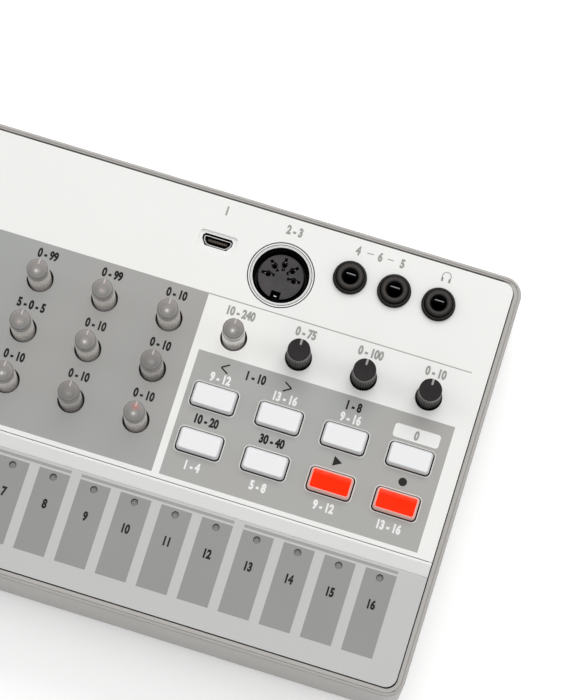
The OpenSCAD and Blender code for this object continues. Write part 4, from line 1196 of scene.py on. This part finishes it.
def socket_marks(grey):
    """A number behind each socket, two dashes between the numbers of the paired ones, and a
    headphone sign."""
    label_y = REAR_Y - 3.1
    sync_in = middle("sync_in_socket")[0]
    sync_out = middle("sync_out_socket")[0]
    between = (sync_in + sync_out) / 2
    grey.number("1", middle("data_socket_shell")[0], label_y)
    grey.number("2 - 3", middle("midi_socket_housing")[0], label_y)
    grey.number("4", sync_in, label_y)
    grey.number("5", sync_out, label_y)
    for side in (-1, 1):
        grey.strip([[between + side * 3.6, label_y], [between + side * 1.9, label_y]], 0.25)
    grey.number("6", between, label_y)
    headphone_sign(grey, middle("headphone_socket")[0], label_y - 0.3)


# Which of a digit's seven parts are lit: a to f clockwise from the top, g in the middle
PARTS = {"0": "abcdef", "1": "bc", "2": "abged", "4": "fgbc"}
PART_PLACES = {"a": (0, 2, 0), "b": (1, 1, 1), "c": (1, -1, 1), "d": (0, -2, 0),
               "e": (-1, -1, 1), "f": (-1, 1, 1), "g": (0, 0, 0)}


def display_digits():
    """Four seven-part digits: every part is a flat bar with pointed ends."""
    x, y, _, _ = middle("display_lens")
    lit = Print("display_digits", "display light", PANEL_Z + 0.015, "display_tint")
    rest = Print("display_unlit_parts", "display rest", PANEL_Z + 0.015, "display_tint")
    bar = np.array([[-1.55, 0], [-1.2, -0.35], [1.2, -0.35], [1.55, 0], [1.2, 0.35], [-1.2, 0.35]])
    for place, digit in enumerate("0120"):
        for part, (right, up, upright) in PART_PLACES.items():
            outline = bar[:, ::-1] * [-1, 1] if upright else bar
            middle_of_part = [x + (place - 1.5) * 6.4 + right * 1.75, y + up * 1.75]
            target = lit if part in PARTS[digit] else rest
            target.polygon(outline + middle_of_part)
    lit.make()
    rest.make()


def headphone_sign(batch, x, y):
    """A plain headphone sign: three quarters of a circle with two ear pads."""
    a = np.radians(np.linspace(-35, 215, 30))
    batch.strip(np.column_stack([x + 1.15 * np.cos(a), y + 0.3 + 1.25 * np.sin(a)]), 0.22)
    for side in (-1, 1):
        pad_x = x + side * 0.98
        batch.strip([[pad_x, y - 1.15], [pad_x, y - 0.1]], 0.55)


# -------------------------------------------------------- light, floor and camera

# Camera place in metres, its turn in degrees, and its lens on a 36 mm frame
CAMERA_PLACE = (0.08485, -0.14495, 0.81196)
CAMERA_TURN = (12.419, -0.516, 17.235)
CAMERA_LENS = 157.4


def camera():
    """The camera that the object is looked at through."""
    data = bpy.data.cameras.new("camera")
    data.lens = CAMERA_LENS
    data.sensor_width = 36
    data.clip_start = 0.01
    data.clip_end = 20
    holder = bpy.data.objects.new("camera", data)
    holder.location = CAMERA_PLACE
    holder.rotation_euler = [math.radians(a) for a in CAMERA_TURN]
    bpy.context.scene.collection.objects.link(holder)
    bpy.context.scene.camera = holder


def softbox(name, place, aim, size, power, mirrored):
    """An area lamp at place, turned to look at aim."""
    data = bpy.data.lights.new(name, "AREA")
    data.shape = "RECTANGLE"
    data.size = size[0]
    data.size_y = size[1]
    data.energy = power
    holder = bpy.data.objects.new(name, data)
    holder.visible_glossy = mirrored
    place = np.array(place)
    holder.location = place
    holder.rotation_euler = Vector(np.array(aim) - place).to_track_quat("-Z", "Y").to_euler()
    bpy.context.scene.collection.objects.link(holder)


# Name, place and aim in metres, width and depth, power, and whether gloss mirrors the lamp:
# four wide soft lamps that light the whole machine evenly without mirroring in its gloss, a
# front strip for the bright edges and a small lamp overhead
LAMPS = (
    ("rear softbox", (0.1, 0.75, 0.9), (0.03, 0.0, 0.03), (0.9, 0.6), 5.35, False),
    ("left softbox", (-0.9, 0.1, 0.8), (0, 0, 0.03), (0.6, 0.8), 1.6, False),
    ("right softbox", (0.95, 0.1, 0.8), (0, 0, 0.03), (0.6, 0.8), 1.6, False),
    ("front strip", (0.32, -0.75, 0.66), (0.03, 0, 0.03), (0.5, 0.16), 0.3, True),
    ("top softbox", (0.05, 0.05, 1.38), (0.03, 0, 0.03), (0.6, 0.6), 2.5, False),
    ("overhead lamp", (0.13, -0.05, 1.25), (0.03, 0, 0.03), (0.12, 0.12), 0.35, True),
)


def seen_directly(tree):
    """1 for rays from the camera, in gloss and through glass."""
    path = tree.nodes.new("ShaderNodeLightPath")
    direct = Field(tree, path.outputs["Is Camera Ray"])
    gloss = Field(tree, path.outputs["Is Glossy Ray"])
    through = Field(tree, path.outputs["Is Transmission Ray"])
    return direct.most(gloss).most(through)


WORLD_LEVEL = 0.455
FLOOR_HALF_W = 3000.0
FLOOR_DROP = 0.05


def world():
    """Plain light from all round, seen as white."""
    space = bpy.data.worlds.new("studio")
    space.use_nodes = True
    tree = space.node_tree
    back = tree.nodes["Background"]
    put(tree, (1, 1, 1), back.inputs["Color"])
    put(tree, seen_directly(tree) * (1 - WORLD_LEVEL) + WORLD_LEVEL, back.inputs["Strength"])
    bpy.context.scene.world = space


def floor():
    """A wide pale floor that keeps the object's shadow, reads as white and is clear from
    below, so that the underside can be seen."""
    corners = np.array([[-1, -1, 0], [1, -1, 0], [1, 1, 0], [-1, 1, 0]])
    piece = mesh_object("floor", corners * FLOOR_HALF_W - [0, 0, FLOOR_DROP],
                        np.array([[0, 1, 2, 3]]))
    finish = Finish("pale floor", rough=0.9)
    tree = finish.tree
    finish.feed("Base Color", (0.86, 0.86, 0.86))
    finish.glow((1, 1, 1), seen_directly(tree) * 0.3)
    side_seen = tree.nodes.new("ShaderNodeNewGeometry")
    clear = tree.nodes.new("ShaderNodeBsdfTransparent")
    choice = tree.nodes.new("ShaderNodeMixShader")
    for value, entry in zip((side_seen.outputs["Backfacing"], finish.shader.outputs["BSDF"],
                             clear.outputs["BSDF"]), choice.inputs):
        put(tree, value, entry)
    put(tree, choice.outputs["Shader"], tree.nodes["Material Output"].inputs["Surface"])
    wear(piece, finish.material)


# ------------------------------------------------------------------------- make

dress_nodes()
for name in CLEAR_KNOBS:
    clear_knob(name)
for name in BLACK_KNOBS:
    black_knob(name)
for node in WHITE_BUTTONS:
    button(node, "button")
for node in RED_BUTTONS:
    button(node, "lit button")
for node in ("sync_in_socket", "sync_out_socket", "headphone_socket"):
    audio_socket(node)
round_socket_trim()
data_socket()
print_marks()
display_digits()
floor()
for lamp in LAMPS:
    softbox(*lamp)
world()
camera()
bpy.context.scene.view_settings.view_transform = "Standard"
